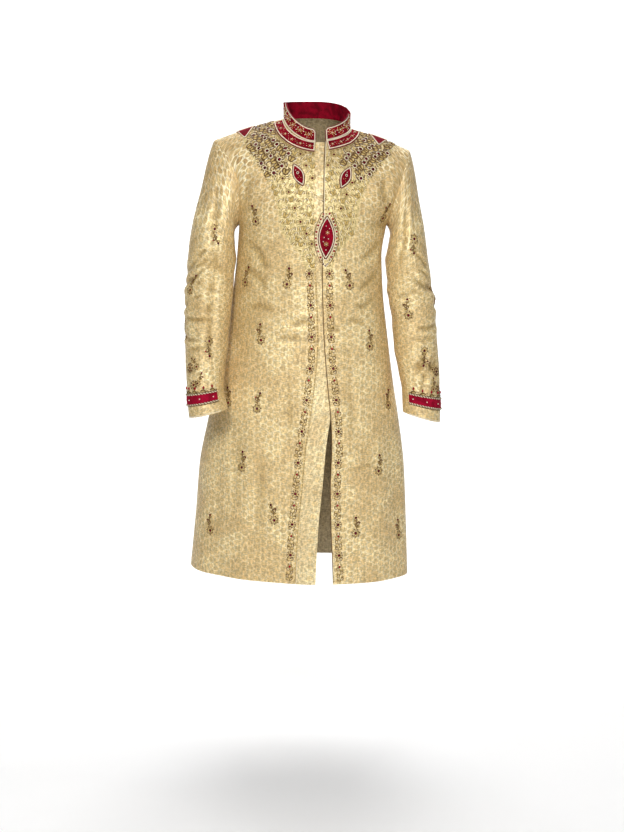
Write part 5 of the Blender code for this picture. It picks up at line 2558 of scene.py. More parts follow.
def vine_repeat(closure: float, number: int) -> Motif:
    """One repeat of the vine: a stone flower, a red drop under a small loop, then curls down to the next.

    Args:
        closure: Which way the closure lies, 1 to the right and -1 to the left.
        number: The repeat's number; every second one turns its stem the other way.

    Returns:
        The motif, its stone flower at the middle.
    """
    made, sway = blossom(3.5, 9.4, 8, Thread.BRONZE), 1.0 if number % 2 else -1.0
    made.cord(drop_loop(5.6, 9.5) + (0.0, -18.0), 0.6, Thread.OLIVE)
    made.spot(Bead.STONE, (0.0, -27.0), 2.9, Thread.RED_STONE)
    made.flower((0.0, -27.0), 5, 3.6, 7.8, Thread.OLIVE, 270.0)
    made.spot(Bead.PETAL, (0.0, -21.5), 4.2, Thread.CREAM, 90.0)
    stem = ((0.6, -33.0), (2.6, -40.0), (-2.4, -50.0), (1.0, -57.0), (0.0, -61.0))
    made.cord([(x * sway, y) for x, y in stem], 0.65, Thread.OLIVE)
    for row, y in enumerate((-12.5, -36.0, -44.0, -52.0, -58.0)):
        for side in (-1.0, 1.0):
            if (row % 2 == 0) == (side * sway > 0.0):
                made.curl((side * 0.8, y), 90.0 - side * 88.0, 17.0, side * 265.0, 0.7, Thread.BRONZE)
                made.curl((side * 2.2, y + 1.0), 90.0 - side * 88.0, 8.5, side * 220.0, 0.5, Thread.CREAM)
                foot = 5.0
            else:
                made.curl((side * 0.8, y), 90.0 - side * 112.0, 11.0, side * 190.0, 0.7, Thread.OLIVE)
                foot = 3.8
            made.spot(Bead.PETAL, (side * foot, y + 2.0), 3.4, Thread.GOLD, 90.0 - side * 40.0)
    for y in (8.0, -22.0, -48.0):
        made.spot(Bead.ROUND, (closure * 9.8, y), 1.0, Thread.SEQUIN)
    return made


def buti(number: int) -> Motif:
    """A small spray: a stone flower under a bent stem with leaves, curls and a stone bud.

    Args:
        number: The spray's number; every second one has a red bud.

    Returns:
        The motif.
    """
    made = blossom(3.6, 9.8, 7, Thread.OLIVE, (0.0, -13.0))
    made.flower((0.0, -13.0), 7, 6.4, 11.4, Thread.BRONZE, 90.0 + 180.0 / 7.0)
    made.cord(((-2.5, 20.0), (-1.0, 14.0), (1.8, 6.5), (0.6, -2.0)), 0.8, Thread.BRONZE)
    made.spot(Bead.STONE, (-3.0, 23.0), 3.2, Thread.DARK_STONE)
    made.flower((-3.0, 23.0), 5, 3.8, 7.4, Thread.OLIVE, 90.0)
    made.spot(Bead.STONE, (7.4, 12.5), 1.9, Thread.RED_STONE if number % 2 else Thread.DARK_STONE)
    for x, y, heading, thread in (
        (-1.2, 15.0, 155.0, Thread.OLIVE),
        (0.6, 10.5, 35.0, Thread.BRONZE),
        (1.0, 6.0, 160.0, Thread.OLIVE),
        (1.0, 0.5, 20.0, Thread.OLIVE),
    ):
        made.spot(Bead.LEAF, (x, y), 7.6, thread, heading, 3.8)
    made.curl((1.2, 4.0), 20.0, 18.0, 250.0, 0.75, Thread.BRONZE)
    made.curl((1.0, 2.0), 160.0, 15.0, -250.0, 0.75, Thread.BRONZE)
    made.curl((-0.4, 16.0), 190.0, 13.0, -230.0, 0.65, Thread.OLIVE)
    for at in ((-6.0, 9.5), (6.5, 20.0), (-8.0, -2.0), (8.5, -4.0)):
        made.spot(Bead.ROUND, at, 1.0, Thread.GOLD)
    return made


def yoke_stone(light: bool) -> Motif:
    """A stone star of the yoke: a dark stone, a pale rim and strokes all round.

    Args:
        light: Whether it belongs to the lighter bib.

    Returns:
        The motif.
    """
    stone, reach, rim, near, far = (3.2, 4.2, 0.4, 5.2, 8.6) if light else (3.9, 5.0, 0.6, 6.2, 10.0)
    made = Motif().spot(Bead.STONE, (0.0, 0.0), stone, Thread.DARK_STONE)
    made.ring((0.0, 0.0), reach, rim, Thread.GOLD if light else Thread.CREAM, 15)
    for number in range(9):
        way = math.radians(40.0 * number + 11.0)
        made.cord((polar(way, near), polar(way + 0.15, far)), 0.8, Thread.OLIVE if light else Thread.BRONZE)
    return made


def yoke_leaves(light: bool) -> Motif:
    """Two outlined leaves of the yoke that part from one foot.

    Args:
        light: Whether it belongs to the lighter bib.

    Returns:
        The motif.
    """
    dark, radius, narrow = (Thread.OLIVE, 0.55, 2.4) if light else (Thread.BRONZE, 0.95, 3.2)
    made = Motif()
    for side in (-1.0, 1.0):
        made.cord(leaf_outline(14.0, 7.2, side * 3.4) + (side * 1.4, -7.0), radius, dark)
        made.spot(Bead.LEAF, (side * 1.8, -5.4), 10.5, Thread.GOLD, 90.0 - side * 14.0, 5.0)
        made.spot(Bead.LEAF, (side * 6.4, -4.0), 8.0, Thread.CREAM, 90.0 - side * 30.0, narrow)
    return made.spot(Bead.ROUND, (0.0, 6.0), 1.5, Thread.SEQUIN if light else Thread.DARK_STONE)


def yoke_scroll(light: bool, side: float) -> Motif:
    """A double scroll of the yoke.

    Args:
        light: Whether it belongs to the lighter bib.
        side: Which way it curls, 1 or -1.

    Returns:
        The motif.
    """
    dark, radius = (Thread.OLIVE, 0.6) if light else (Thread.BRONZE, 1.0)
    made = Motif().curl((-3.4 * side, -7.0), 90.0 - side * 25.0, 21.0, side * 200.0, radius, dark)
    made.curl((-1.2 * side, -6.4), 90.0 - side * 25.0, 15.0, side * 180.0, 0.7, Thread.CREAM)
    made.curl((1.4 * side, -6.4), 90.0 - side * 75.0, 11.0, -side * 120.0, radius, dark)
    made.spot(Bead.LEAF, (2.0 * side, -3.0), 7.0, Thread.GOLD, 90.0 + side * 20.0, 4.0)
    return made.spot(Bead.LEAF, (-5.0 * side, 1.0), 6.0, Thread.CREAM, 60.0, 2.6)


def yoke_dashes(side: float) -> Motif:
    """Slanting stitches of the bib, pale and dark by turns.

    Args:
        side: Which way the stitches slant, 1 or -1.

    Returns:
        The motif.
    """
    made = Motif()
    threads = Thread.BRONZE, Thread.CREAM, Thread.OLIVE, Thread.GOLD, Thread.BRONZE
    for number, thread in enumerate(threads, -2):
        x, half = number * 2.7, (9.4 - 0.8 * abs(number)) / 2.0
        made.cord(((x - 1.2 * side, -half), (x, 0.0), (x + 2.2 * side, half)), 0.6, thread, 0.6)
    return made.spot(Bead.ROUND, (0.0, 6.4), 1.2, Thread.SEQUIN)


def bead_flower(reach: float, petals: int) -> Motif:
    """A flower of gold petals about a cream bead."""
    return bead(1.5).flower((0.0, 0.0), petals, 1.7, reach, Thread.GOLD, 90.0)


def bead(size: float) -> Motif:
    """One cream bead."""
    return Motif().spot(Bead.ROUND, (0.0, 0.0), size, Thread.PEARL)


def bead_spray(number: int) -> Motif:
    """The collar's figure: a bead flower with beaded tendrils.

    Args:
        number: The figure's number; every second one is upright.

    Returns:
        The motif.
    """
    made, upright = bead_flower(5.0, 5), 1.0 if number % 2 else -1.0
    for side in (-1.0, 1.0):
        made.curl((side * 4.0, -2.0), 90.0 - side * 60.0, 11.0, side * 150.0, 0.45, Thread.GOLD)
        for x, y, size, thread in (
            (6.6, 5.0, 1.25, Thread.PEARL),
            (9.6, -1.2, 1.4, Thread.PEARL),
            (6.2, -6.2, 1.2, Thread.GOLD),
            (2.6, 8.0, 1.1, Thread.GOLD),
        ):
            made.spot(Bead.ROUND, (side * x, y * upright), size, thread)
    return made


def bead_sprig() -> Motif:
    """The neck bands' figure: a bead flower between pairs of beads.

    Returns:
        The motif.
    """
    made = bead_flower(4.2, 5)
    for way in (-1.0, 1.0):
        made.spot(Bead.ROUND, (way * 7.0, 2.4 * way), 0.95, Thread.PEARL)
        made.spot(Bead.ROUND, (way * 9.4, -2.6 * way), 0.8, Thread.GOLD)
    return made


def cuff_drop() -> Motif:
    """The cuffs' figure: a scallop with a red drop and a curl to the next.

    Returns:
        The motif.
    """
    arc = np.linspace(0.0, math.pi, 9)
    scallop = np.stack((np.cos(arc) * 5.6, 4.2 * np.sin(arc)), axis=-1)
    made = Motif().cord(scallop, 0.9, Thread.BRONZE).cord(scallop * 0.55, 0.8, Thread.OLIVE)
    made.cord(((0.0, 4.0), (0.3, 8.5)), 0.8, Thread.BRONZE)
    made.spot(Bead.DROP, (0.0, 6.6), 7.0, Thread.RED_STONE, 90.0, 6.0)
    made.curl((5.6, 0.0), 60.0, 9.0, -170.0, 0.6, Thread.BRONZE)
    return made.spot(Bead.ROUND, (0.0, 1.4), 1.0, Thread.GOLD)


# ---------------------------------------------------------------- the embroidery


class YokeWork:
    """The close embroidery over one side's shoulder and beside the closure of the chest."""

    reach = Profile("""
        height reach
        -0.336 0.024
        -0.310 0.032
        -0.280 0.055
        -0.250 0.076
        -0.200 0.083
        -0.150 0.100
        -0.105 0.128
        -0.060 0.158
        -0.020 0.172
    """)
    bib_top, bib_reach, bib_run = -0.135, 0.055, 0.05
    bib_strength, full_gain = 0.55, 0.45
    row, column, columns = 0.0118, 0.0136, 16
    edge_margin, patch_margin, neck_margin, armhole_margin = 0.005, 0.0065, 0.006, 0.008
    end, top_share = -0.342, 0.955
    first_across, overhang = 0.004, 0.002
    wash, wash_run = 0.006, 0.014
    fan = 0.10                        # the figures lean away from a place this far above the bib
    turns = 22.0
    stray = 0.0012
    light_scales, full_scales = (0.80, 0.92), (0.92, 1.06)
    seeds = {Side.LEFT: 11, Side.RIGHT: 23}

    def __init__(self, side: Side) -> None:
        """Keep the side."""
        self.side = side

    def depth(self, x: Array, height: Array) -> Array:
        """How far inside the embroidery's border a place lies, below 0 outside.

        Args:
            x: Places across the body.
            height: Heights of the places.

        Returns:
            Distances from the border.
        """
        off = self.side.value * (x - FORM.closure(self.side, height))
        reach = self.reach.read("reach", height)
        return np.minimum(np.minimum(reach - off, off + self.overhang), height - self.end)

    def coverage(self, points: Array) -> Array:
        """How much of the ground shows as worked."""
        strength = self.bib_strength + self.full_gain * smooth((points[..., 2] - self.bib_top) / self.bib_run)
        return strength * smooth((self.depth(points[..., 0], points[..., 2]) + self.wash) / self.wash_run)

    def fits(self, x: float, level: float, height: float) -> bool:
        """Whether a figure fits at a place.

        Args:
            x: The place across the body.
            level: Its level.
            height: Its height.

        Returns:
            Whether it fits.
        """
        if self.depth(x, height) < self.edge_margin:
            return False
        outset = Collar.band_width + self.neck_margin
        if abs(x) < FORM.neck_half + outset and height > FORM.neckline(x, Face.FRONT, outset):
            return False
        angle = (level - FORM.armpit) / FORM.yoke_climb * 90.0
        seam = FORM.armhole(self.side, Face.FRONT, math.radians(max(0.0, angle)))
        if abs(x) > seam - self.armhole_margin:
            return False
        if any(patch.covers(x, height, self.patch_margin) for patch in CHEST_PATCHES.values()):
            return False
        patches = (patch for patch in SHOULDER_PATCHES.values() if patch.side is self.side)
        return not any(patch.covers(x, angle, self.patch_margin) for patch in patches)

    def figure(self, row: int, column: int, light: bool) -> Motif:
        """One of the yoke's figures by turns.

        Args:
            row: The row's number.
            column: The column's number.
            light: Whether it belongs to the lighter bib.

        Returns:
            The motif.
        """
        kind, side = column + 2 * (row % 2) + row // 2, 1.0 if (column + row) % 2 else -1.0
        if not light:
            return (yoke_stone(False), yoke_leaves(False), yoke_scroll(False, side))[kind % 3]
        if (column + 2 * row) % 5 == 0 and row % 2:
            return yoke_stone(True)
        return (yoke_scroll(True, side), yoke_dashes(side), yoke_leaves(True), yoke_dashes(-side))[kind % 4]

    def make(self) -> bpy.types.Object:
        """Make the embroidery.

        Returns:
            The piece.
        """
        surface, work = FrontSurface(self.side), Needlework(f"yoke_embroidery_{self.side.word}")
        chance = np.random.default_rng(self.seeds[self.side])
        top = FORM.armpit + FORM.yoke_climb * self.top_share
        for row, level in enumerate(np.arange(self.end, top, self.row)):
            for column in range(self.columns):
                x = self.side.value * (self.first_across + (column + 0.5 * (row % 2)) * self.column)
                height = float(FORM.front(x, level)[2])
                if not self.fits(x, float(level), height):
                    continue
                light = height < self.bib_top or abs(x) < self.bib_reach
                figure = self.figure(row, column, light)
                away = math.degrees(math.atan2(x, level - self.bib_top - self.fan))
                turn = -away + 180.0 + chance.uniform(-self.turns, self.turns)
                stray = chance.uniform(-self.stray, self.stray, 2)
                scale = chance.uniform(*(self.light_scales if light else self.full_scales))
                work.work(figure, Place(surface, x + stray[0], float(level) + stray[1], turn, scale))
        return work.make()


class Vines:
    """One side's vine beside the closure, with the lines of stitching along it; on the left front, a dark
    cord along the lap's edge is a painted shadow line.
    """

    first, pitch, count = -0.3490, 0.0715, 10
    offsets = {Side.LEFT: 0.0165, Side.RIGHT: -0.0155}
    hem_margin, lean_step = 0.003, 0.01
    line_start, dash_top, bib_start, lap_top = FORM.hem + 0.004, -0.345, -0.325, -0.060
    dashes, stitch, stitch_gap = ((-0.0014, Thread.OLIVE, 0.55), (-0.0032, Thread.GOLD, 0.45)), 0.0055, 0.0015
    # Left front: the dark bronze cord from the hem up along the lap's edge is a painted shadow line of the
    # lapped edge; the cream cord above the bib's start is a real edging.
    lap_shadow_and_cords = ((line_start, 300, 0.0006, 0.65, Thread.BRONZE), (bib_start, 90, 0.0028, 0.6, Thread.CREAM))
    dash_points = 230

    def __init__(self, side: Side) -> None:
        """Keep the side and its front."""
        self.side, self.surface = side, FrontSurface(side)

    def beside(self, first: float, last: float, count: int, offset: float) -> Course:
        """A line beside the closure edge, between two heights."""
        height = np.linspace(first, last, count)
        return Course(self.surface, FORM.closure(self.side, height) + offset, height)

    def make(self) -> bpy.types.Object:
        """Make the vine with its rows of stitching, or on the left front its cords: a painted shadow line
        along the lap's edge and a cream edging.

        Returns:
            The piece.
        """
        work = Needlework(f"vine_{self.side.word}")
        for number in range(self.count):
            height = self.first - self.pitch * number
            step = np.array((0.0, self.lean_step, -self.lean_step))
            x, above, below = FORM.closure(self.side, height + step) + self.offsets[self.side]
            lean = math.degrees(math.atan((above - below) / (2.0 * self.lean_step)))
            figure, room = vine_repeat(-self.side.value, number), (height - FORM.hem - self.hem_margin) / MM
            figure.lines = [line for line in figure.lines if line.points[:, 1].min() > -room]
            figure.spots = [spot for spot in figure.spots if spot.at[1] > -room]
            work.work(figure, Place(self.surface, x, height, -lean))
        if self.side is Side.RIGHT:
            for offset, thread, radius in self.dashes:
                line = self.beside(self.line_start, self.dash_top, self.dash_points, offset)
                work.dash(line, radius, thread, self.stitch, self.stitch_gap)
        else:
            # the dark cord laid here is painted shadow along the lap's edge
            for start, count, offset, radius, thread in self.lap_shadow_and_cords:
                work.couch(self.beside(start, self.lap_top, count, offset), radius, thread)
        return work.make()


class Butis:
    """The sprays scattered over one side's front and sleeve."""

    fronts = {
        Side.RIGHT: (
            (-0.142, -0.2240, 8.0), (-0.164, -0.3579, -8.0), (-0.066, -0.3606, -14.0),
            (-0.130, -0.4890, 12.0), (-0.206, -0.6365, 8.0), (-0.136, -0.6447, -6.0),
            (-0.172, -0.7813, -6.0), (-0.250, -0.9425, 10.0), (-0.100, -0.9000, 8.0),
        ),
        Side.LEFT: (
            (0.0712, -0.3633, 12.0), (0.1565, -0.2158, -10.0), (0.1216, -0.5027, -6.0),
            (0.1642, -0.6420, -8.0), (0.1429, -0.7895, -10.0), (0.1895, -0.9479, 6.0),
            (0.0900, -0.9300, -6.0),
        ),
    }
    sleeves = {
        Side.RIGHT: (
            (0.2637, 0.1928, 190.0), (0.1354, 0.4162, -8.0), (0.2820, 0.6753, 174.0), (0.02, 0.62, 8.0),
        ),
        Side.LEFT: (
            (0.2026, 0.2255, 172.0), (0.2026, 0.7051, 176.0), (0.0400, 0.4609, 176.0), (0.30, 0.50, 8.0),
        ),
    }

    def __init__(self, side: Side) -> None:
        """Keep the side."""
        self.side = side

    def make(self) -> bpy.types.Object:
        """Make the sprays.

        Returns:
            The piece.
        """
        work = Needlework(f"sprays_{self.side.word}")
        sewn = ((FrontSurface(self.side), self.fronts, 0), (SleeveSurface(self.side), self.sleeves, 1))
        for surface, places, first in sewn:
            for number, (u, v, turn) in enumerate(places[self.side]):
                work.work(buti(number + first), Place(surface, u, v, turn, mirror=bool(number % 2)))
        return work.make()


class CuffWork:
    """The braids, beads and drops round a cuff."""

    corners = {Side.RIGHT: ((0.117, 0.779), (0.157, 0.852)), Side.LEFT: ((0.108, 0.770), (0.087, 0.852))}
    drop_pitch, bead_pitch, margin = 0.022, 0.033, 0.012
    braid_inset, cord_outset, drop_outset = 0.0004, 0.0028, 0.0045
    braid_radius, cord_radius, bead_size = 0.9, 0.6, 1.7
    end_share = 0.9955
    blossom, blossom_turn = (3.4, 11.5, 8, Thread.BRONZE), 20.0
    spray_shift, spray_turns, spray_scale = (0.055, -0.02), (40.0, -60.0), 0.72
    points = 90

    def __init__(self, side: Side) -> None:
        """Keep the side and its sleeve."""
        self.side, self.sleeve = side, Sleeve(side)

    def course(self, share: float, lift: float = 0.0) -> Course:
        """A line round the cuff at a share of the sleeve."""
        return Course(self.sleeve.surface, np.linspace(*self.sleeve.band_ends, self.points), share, lift)

    def make(self) -> bpy.types.Object:
        """Make the cuff's embroidery.

        Returns:
            The piece.
        """
        work, surface = Needlework(f"cuff_embroidery_{self.side.word}"), self.sleeve.surface
        high, low, down = self.sleeve.high, self.sleeve.low, self.sleeve.down
        for share in (high + self.braid_inset * down, low - self.braid_inset * down):
            course = self.course(share, TRIM_TOP - self.braid_inset)
            work.braid(course, self.braid_radius, (Thread.CREAM, Thread.BRONZE))
        for share in (high - self.cord_outset * down, low + self.cord_outset * down):
            work.couch(self.course(share), self.cord_radius, Thread.BRONZE)
        middle, above = self.course((high + low) / 2.0, TRIM_TOP), self.course(high - self.drop_outset * down)
        for stop in middle.every(self.bead_pitch, self.margin):
            work.work(bead(self.bead_size), middle.place(stop))
        for stop in above.every(self.drop_pitch, self.margin):
            work.work(cuff_drop(), above.place(stop))
        for number, (turn, share) in enumerate(self.corners[self.side]):
            work.work(blossom(*self.blossom), Place(surface, turn, share, self.blossom_turn * number))
            at = turn + self.spray_shift[0], share + self.spray_shift[1]
            heading = self.spray_turns[0] + self.spray_turns[1] * number
            work.work(buti(number), Place(surface, *at, heading, self.spray_scale))
        work.couch(self.course(self.end_share), self.cord_radius, Thread.CREAM)
        return work.make()


class StandSurface(Surface):
    """The collar's stand: metres round it from the right front's edge, and shares of its height."""

    def __init__(self, collar: Collar) -> None:
        """Keep the stand's foot, way out and height."""
        self.foot, self.away, self.height, self.run = collar.foot, collar.away, collar.height, collar.run
        self.lean = collar.lean

    def read(self, values: Array, u: Array) -> Array:
        """A column read round the stand."""
        return np.interp(u, self.run, values)

    def outward(self, points: Array) -> Array:
        """Directions away from the neck."""
        return stack(points[..., 0], points[..., 1], 0.0)

    def base(self, u: Array, v: Array) -> Array:
        """Points of the stand.

        Args:
            u: Places across or round the cloth.
            v: Places up or along the cloth.

        Returns:
            The points.
        """
        u, v = np.broadcast_arrays(u, v)
        foot, away = (stack(*(self.read(column, u) for column in rows.T)) for rows in (self.foot, self.away))
        return foot + stack(0.0, 0.0, self.read(self.height, u) * v) - unit(away) * (self.lean * v)[..., None]


class CollarWork:
    """The bead flowers and the edgings of the collar."""

    spray_pitch, spray_margin, spray_turn = 0.0235, 0.016, 18.0
    sprig_pitch, sprig_margin, sprig_turn = 0.021, 0.011, 20.0
    stand_edges = ((0.0006, 0.6, Thread.CRIMSON), (0.0027, 0.95, Thread.CREAM))
    band_edges = (
        (0.0014, 0.9, Thread.CREAM, TRIM_TOP),
        (Collar.band_width - 0.0018, 0.9, Thread.CREAM, TRIM_TOP),
        (Collar.band_width + 0.0004, 0.6, Thread.CRIMSON, 0.0008),
        (Collar.band_width + 0.0032, 0.5, Thread.OLIVE, 0.0),
    )
    beads = (0.9, Thread.GOLD), (0.9, Thread.OLIVE), (1.1, Thread.DARK_STONE)
    bead_outset, bead_pitch = 0.0052, 0.0042
    cord_pitch, foot_share, middle_share = 0.003, 0.06, 0.52
    foot_inset, foot_radius, end_inset, end_radius = 0.001, 1.0, 0.0012, 0.85
    around, across, up_edge, across_end = 260, 80, 12, 10

    def __init__(self) -> None:
        """Keep the collar and its stand's surface."""
        self.collar = Collar()
        self.surface = StandSurface(self.collar)

    def couch(self, work: Needlework, track: Track, radius: float, thread: Thread) -> None:
        """Lay a cord with short stitches."""
        work.couch(track, radius, thread, self.cord_pitch)

    def stand(self, work: Needlework) -> None:
        """Edge the stand and sew its flowers.

        Args:
            work: The collar's needlework.
        """
        surface, total = self.surface, float(self.surface.run[-1])
        for inset, radius, thread in self.stand_edges:
            round_in = np.linspace(inset, total - inset, self.around)
            top = Course(surface, round_in, 1.0 - inset / surface.read(surface.height, round_in))
            self.couch(work, top, radius, thread)
            for edge in (inset, total - inset):
                gap = inset / float(surface.read(surface.height, edge))
                upright = Course(surface, edge, np.linspace(gap, 1.0 - gap, self.up_edge))
                self.couch(work, upright, radius, thread)
        foot = np.linspace(self.foot_inset, total - self.foot_inset, self.around)
        self.couch(work, Course(surface, foot, self.foot_share), self.foot_radius, Thread.CREAM)
        middle = Course(surface, foot, self.middle_share)
        for number, stop in enumerate(middle.every(self.spray_pitch, self.spray_margin)):
            turn = -self.spray_turn if number % 2 else self.spray_turn
            work.work(bead_spray(number), middle.place(stop, turn))

    def beside(self, side: Side, outset: Array, lift: float = 0.0, bearing: Optional[Array] = None) -> Course:
        """A line beside the neck, at an outset from its seam.

        Args:
            side: The wearer's side.
            outset: Distances from the seam.
            lift: How high it lies over the panel.
            bearing: Bearings round the neck; the whole band when left out.

        Returns:
            The line.
        """
        if bearing is None:
            bearing = np.linspace(*self.collar.bearings(side), self.across)
        return Course(FrontSurface(side), *self.collar.band_place(side, *paired(bearing, outset)), lift)

    def band(self, work: Needlework, side: Side) -> None:
        """Edge one of the bands and sew its flowers.

        Args:
            work: The collar's needlework.
            side: The wearer's side.
        """
        width, first = self.collar.band_width, self.collar.bearings(side)[0]
        for outset, radius, thread, lift in self.band_edges:
            self.couch(work, self.beside(side, outset, lift), radius, thread)
        beads = self.beside(side, width + self.bead_outset)
        work.string(beads, beads.every(self.bead_pitch), self.beads)
        outset = np.linspace(self.end_inset, width - self.end_inset, self.across_end)
        end = self.beside(side, outset, TRIM_TOP, first + self.end_inset / FORM.neck_half)
        self.couch(work, end, self.end_radius, Thread.CREAM)
        middle = self.beside(side, width / 2.0, TRIM_TOP)
        for stop in middle.every(self.sprig_pitch, self.sprig_margin):
            work.work(bead_sprig(), middle.place(stop, side.value * self.sprig_turn))

    def make(self) -> bpy.types.Object:
        """Make the collar's embroidery.

        Returns:
            The piece.
        """
        work = Needlework("collar_embroidery")
        self.stand(work)
        for side in Side:
            self.band(work, side)
        return work.make()


class PatchWork:
    """The edgings and beads of the velvet patches."""

    edges = ((-0.0007, 0.85, Thread.CREAM), (0.0012, 0.65, Thread.CRIMSON))
    rings = ((0.0034, 0.7, Thread.CREAM), (0.0105, 0.6, Thread.BRONZE))
    ring_margin, ring_pitch, edge_lift = 0.0070, 0.0037, 0.0008
    shoulder_points, shoulder_inset, shoulder_radius = 24, 0.96, 0.85
    petals, bead_size, stone_size = 6, 1.4, 1.7
    leaf_stone, leaf_bead_size = ((0.0, 5.0), 1.8), 1.05
    ring_turns = ((1.5, Thread.PEARL), (1.5, Thread.BRONZE), (1.5, Thread.PEARL), (2.5, Thread.RED_STONE))
    flowers = ((0.0, 0.34, 5.2), (0.06, 0.62, 4.6))
    beads = ((0.14, 0.47), (-0.16, 0.50), (0.0, 0.20), (-0.05, 0.78), (0.18, 0.72), (-0.2, 0.4))
    stones_at, stones = (0.0, -0.16), ((-4.4, 1.0), (0.0, -2.6), (4.4, 1.0))
    leaf_beads = ((-3.0, -6.0), (2.6, -8.5), (0.4, -3.4), (-1.6, 12.5))

    def __init__(self) -> None:
        """Start the work."""
        self.work = Needlework("patch_embroidery")

    def outline(self, patch: ChestPatch, margin: float, lift: float = 0.0) -> Track:
        """The line round a chest patch; past the lap's edge it lies on the cloth below.

        Args:
            patch: The patch.
            margin: How far the line is set out from the patch.
            lift: How high it lies over the panel.

        Returns:
            The line.
        """
        x, level = patch.outline(margin)
        points, normals = FrontSurface(patch.side).skin(x, level, lift)
        if patch.side is Side.RIGHT:
            return Track(points, normals)
        below, below_normals = FrontSurface(Side.RIGHT).skin(x, level, lift)
        past = (margin > 0.0) & (x < FORM.closure(Side.LEFT, points[:, 2]))[:, None]
        return Track(np.where(past, below, points), np.where(past, below_normals, normals))

    def edge(self, track: Track, radius: float, thread: Thread) -> None:
        """Lay a closed cord."""
        points = track.points + track.normals * radius * self.work.couch_rise * MM
        self.work.lay(np.concatenate((points, points[:1])), Line(points, radius, thread))

    def on(self, patch: ChestPatch, across: float, along: float, lift: float = 0.0,
           turn: float = 0.0) -> Place:
        """A place on a patch."""
        x, level = patch.place(across, along)
        return Place(FrontSurface(patch.side), float(x), float(level), turn, lift=lift)

    def marquise(self, patch: ChestPatch, top: float) -> None:
        """Ring the marquise and sew its flowers, beads and stones.

        Args:
            patch: The patch.
            top: How high the beads lie over the panel.
        """
        for margin, radius, thread in self.rings:
            self.edge(self.outline(patch, margin), radius, thread)
        ring = self.outline(patch, self.ring_margin)
        stops, across = np.arange(0.0, ring.run[-1], self.ring_pitch), np.array((1.0, 0.0, 0.0))
        self.work.string(ring, stops, self.ring_turns, across)
        for *at, reach in self.flowers:
            self.work.work(bead_flower(reach, self.petals), self.on(patch, *at, top))
        for at in self.beads:
            self.work.work(bead(self.bead_size), self.on(patch, *at, top))
        stones = Motif()
        for at in self.stones:
            stones.set_stone(at, self.stone_size)
        self.work.work(stones, self.on(patch, *self.stones_at))

    def leaf(self, patch: ChestPatch, top: float) -> None:
        """Sew a leaf patch's stone and beads.

        Args:
            patch: The patch.
            top: How high the beads lie over the panel.
        """
        figure = Motif().set_stone(*self.leaf_stone)
        for x, y in self.leaf_beads:
            figure.spot(Bead.ROUND, (x, y), self.leaf_bead_size, Thread.GOLD if y < 0.0 else Thread.PEARL)
        self.work.work(figure, self.on(patch, 0.0, 0.5, top, -patch.lean))

    def shoulder(self, patch: ShoulderPatch) -> None:
        """Edge a shoulder patch.

        Args:
            patch: The patch.
        """
        along = np.linspace(0.0, 1.0, self.shoulder_points)
        half = patch.half_width(along) * self.shoulder_inset
        x, level = patch.place(np.concatenate((half, -half[::-1])), np.concatenate((along, along[::-1])))
        skin = FrontSurface(patch.side).skin(x, level, TRIM_TOP)
        self.edge(Track(*skin), self.shoulder_radius, Thread.CREAM)

    def make(self) -> bpy.types.Object:
        """Make the patches' edgings and beads.

        Returns:
            The piece.
        """
        for name, patch in CHEST_PATCHES.items():
            top = patch.gap + TRIM_CLOTH
            for (margin, radius, thread), lift in zip(self.edges, (top, self.edge_lift)):
                self.edge(self.outline(patch, margin, lift), radius, thread)
            (self.marquise if name == "chest_marquise" else self.leaf)(patch, top)
        for patch in SHOULDER_PATCHES.values():
            self.shoulder(patch)
        return self.work.make()


class SeamWork:
    """The stitching that closes the centre back seam."""

    inset, radius = 0.0011, 0.55
    body_rows, yoke_rows, last = 120, 50, 1.9990

    def make(self) -> bpy.types.Object:
        """Make the stitching.

        Returns:
            The piece.
        """
        work = Needlework("back_seam")
        up = joined(np.linspace(0.0, 1.0, self.body_rows), np.linspace(1.0, self.last, self.yoke_rows))
        edges = [PanelSurface(side, Face.BACK).skin(np.zeros(len(up)), up, -self.inset)[0] for side in Side]
        work.lay(sum(edges) / 2.0, Line(up, self.radius, Thread.OLIVE))
        return work.make()


# ---------------------------------------------------------------- the studio


class Lamp(NamedTuple):
    """A soft square light: its place, what it is aimed at, its size and its power."""

    name: str
    at: tuple[float, float, float]
    aim: tuple[float, float, float]
    size: float
    power: float

    def make(self) -> None:
        """Hang the light."""
        data = bpy.data.lights.new(self.name, "AREA")
        data.size, data.energy = self.size, self.power
        lamp = link(self.name, data)
        lamp.location = self.at
        lamp.rotation_euler = (Vector(self.aim) - Vector(self.at)).to_track_quat("-Z", "Y").to_euler()


LAMPS = (
    Lamp("key_light", (-0.8, -3.4, 1.4), (0.0, 0.0, -0.25), 0.9, 91.0),
    Lamp("fill_light", (1.2, -3.3, 0.6), (0.0, 0.0, -0.35), 1.2, 40.0),
    Lamp("top_light", (0.0, 1.5, 2.6), (0.0, 0.9, -1.5), 2.4, 80.0),
    Lamp("back_light", (0.0, 2.4, 1.2), (0.0, 0.0, -0.5), 2.0, 10.0),
    Lamp("wall_light_right", (-2.2, 1.2, 0.8), (-0.9, 4.2, 0.4), 1.5, 68.0),
    Lamp("wall_light_left", (2.2, 1.2, 0.8), (0.9, 4.2, 0.4), 1.5, 68.0),
)


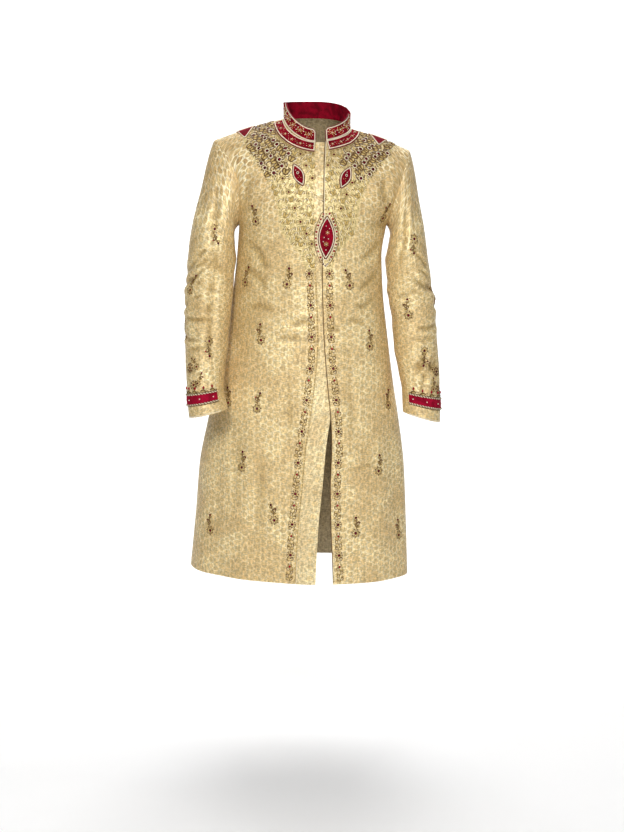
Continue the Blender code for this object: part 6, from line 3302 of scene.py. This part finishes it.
@dataclass(frozen=True)
class Studio:
    """Floor, light and camera."""

    floor: float = -1.52
    half_width: float = 9.0
    near: float = -9.0
    bend_start: float = 3.0
    bend: float = 1.2
    bend_steps: int = 13
    top: float = 7.0
    air: float = 0.10
    camera_at: tuple[float, float, float] = (-0.0116, -3.383, -0.2645)
    camera_tilt: float = 82.84
    lens: float = 62.0
    sensor: float = 36.0

    def sweep(self) -> None:
        """The floor, which curves up behind the coat."""
        curve = [(self.bend_start + self.bend * math.sin(way), self.bend - self.bend * math.cos(way))
                 for way in np.linspace(0.0, QUARTER, self.bend_steps)]
        ways = [(self.near, 0.0), *curve, (self.bend_start + self.bend, self.top)]
        points = [(x, y, self.floor + z) for y, z in ways for x in (-self.half_width, self.half_width)]
        faces = [(2 * row, 2 * row + 1, 2 * row + 3, 2 * row + 2) for row in range(len(ways) - 1)]
        mesh = bpy.data.meshes.new("studio_floor")
        mesh.from_pydata(points, [], faces)
        mesh.shade_smooth()
        mesh.materials.append(Paper("studio_paper").material())
        link("studio_floor", mesh)

    def make(self) -> None:
        """Make the studio."""
        self.sweep()
        for lamp in LAMPS:
            lamp.make()
        scene = bpy.context.scene
        scene.view_settings.view_transform = "Standard"
        scene.world = bpy.data.worlds.new("studio_air")
        scene.world.use_nodes = True
        air = scene.world.node_tree.nodes["Background"]
        air.inputs["Color"].default_value = (1.0, 1.0, 1.0, 1.0)
        air.inputs["Strength"].default_value = self.air
        data = bpy.data.cameras.new("camera")
        data.lens, data.sensor_width = self.lens, self.sensor
        scene.camera = link("camera", data)
        scene.camera.location = self.camera_at
        scene.camera.rotation_euler = (math.radians(self.camera_tilt), 0.0, 0.0)


def main() -> None:
    """Build the coat's dressing in order and report each piece."""
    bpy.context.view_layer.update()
    Studio().make()
    for side in Side:
        for face in Face:
            MainPanel(side, face).make()
    Placket().make()
    for side in Side:
        Sleeve(side).make()
    Collar().make()
    for name, patch in (CHEST_PATCHES | SHOULDER_PATCHES).items():
        patch.make(name)
    for side in Side:
        for work in (YokeWork, Vines, Butis, CuffWork):
            work(side).make()
    for work in (CollarWork, PatchWork, SeamWork):
        work().make()


if __name__ == "__main__":
    logging.basicConfig(level=logging.INFO, format="%(message)s")
    main()
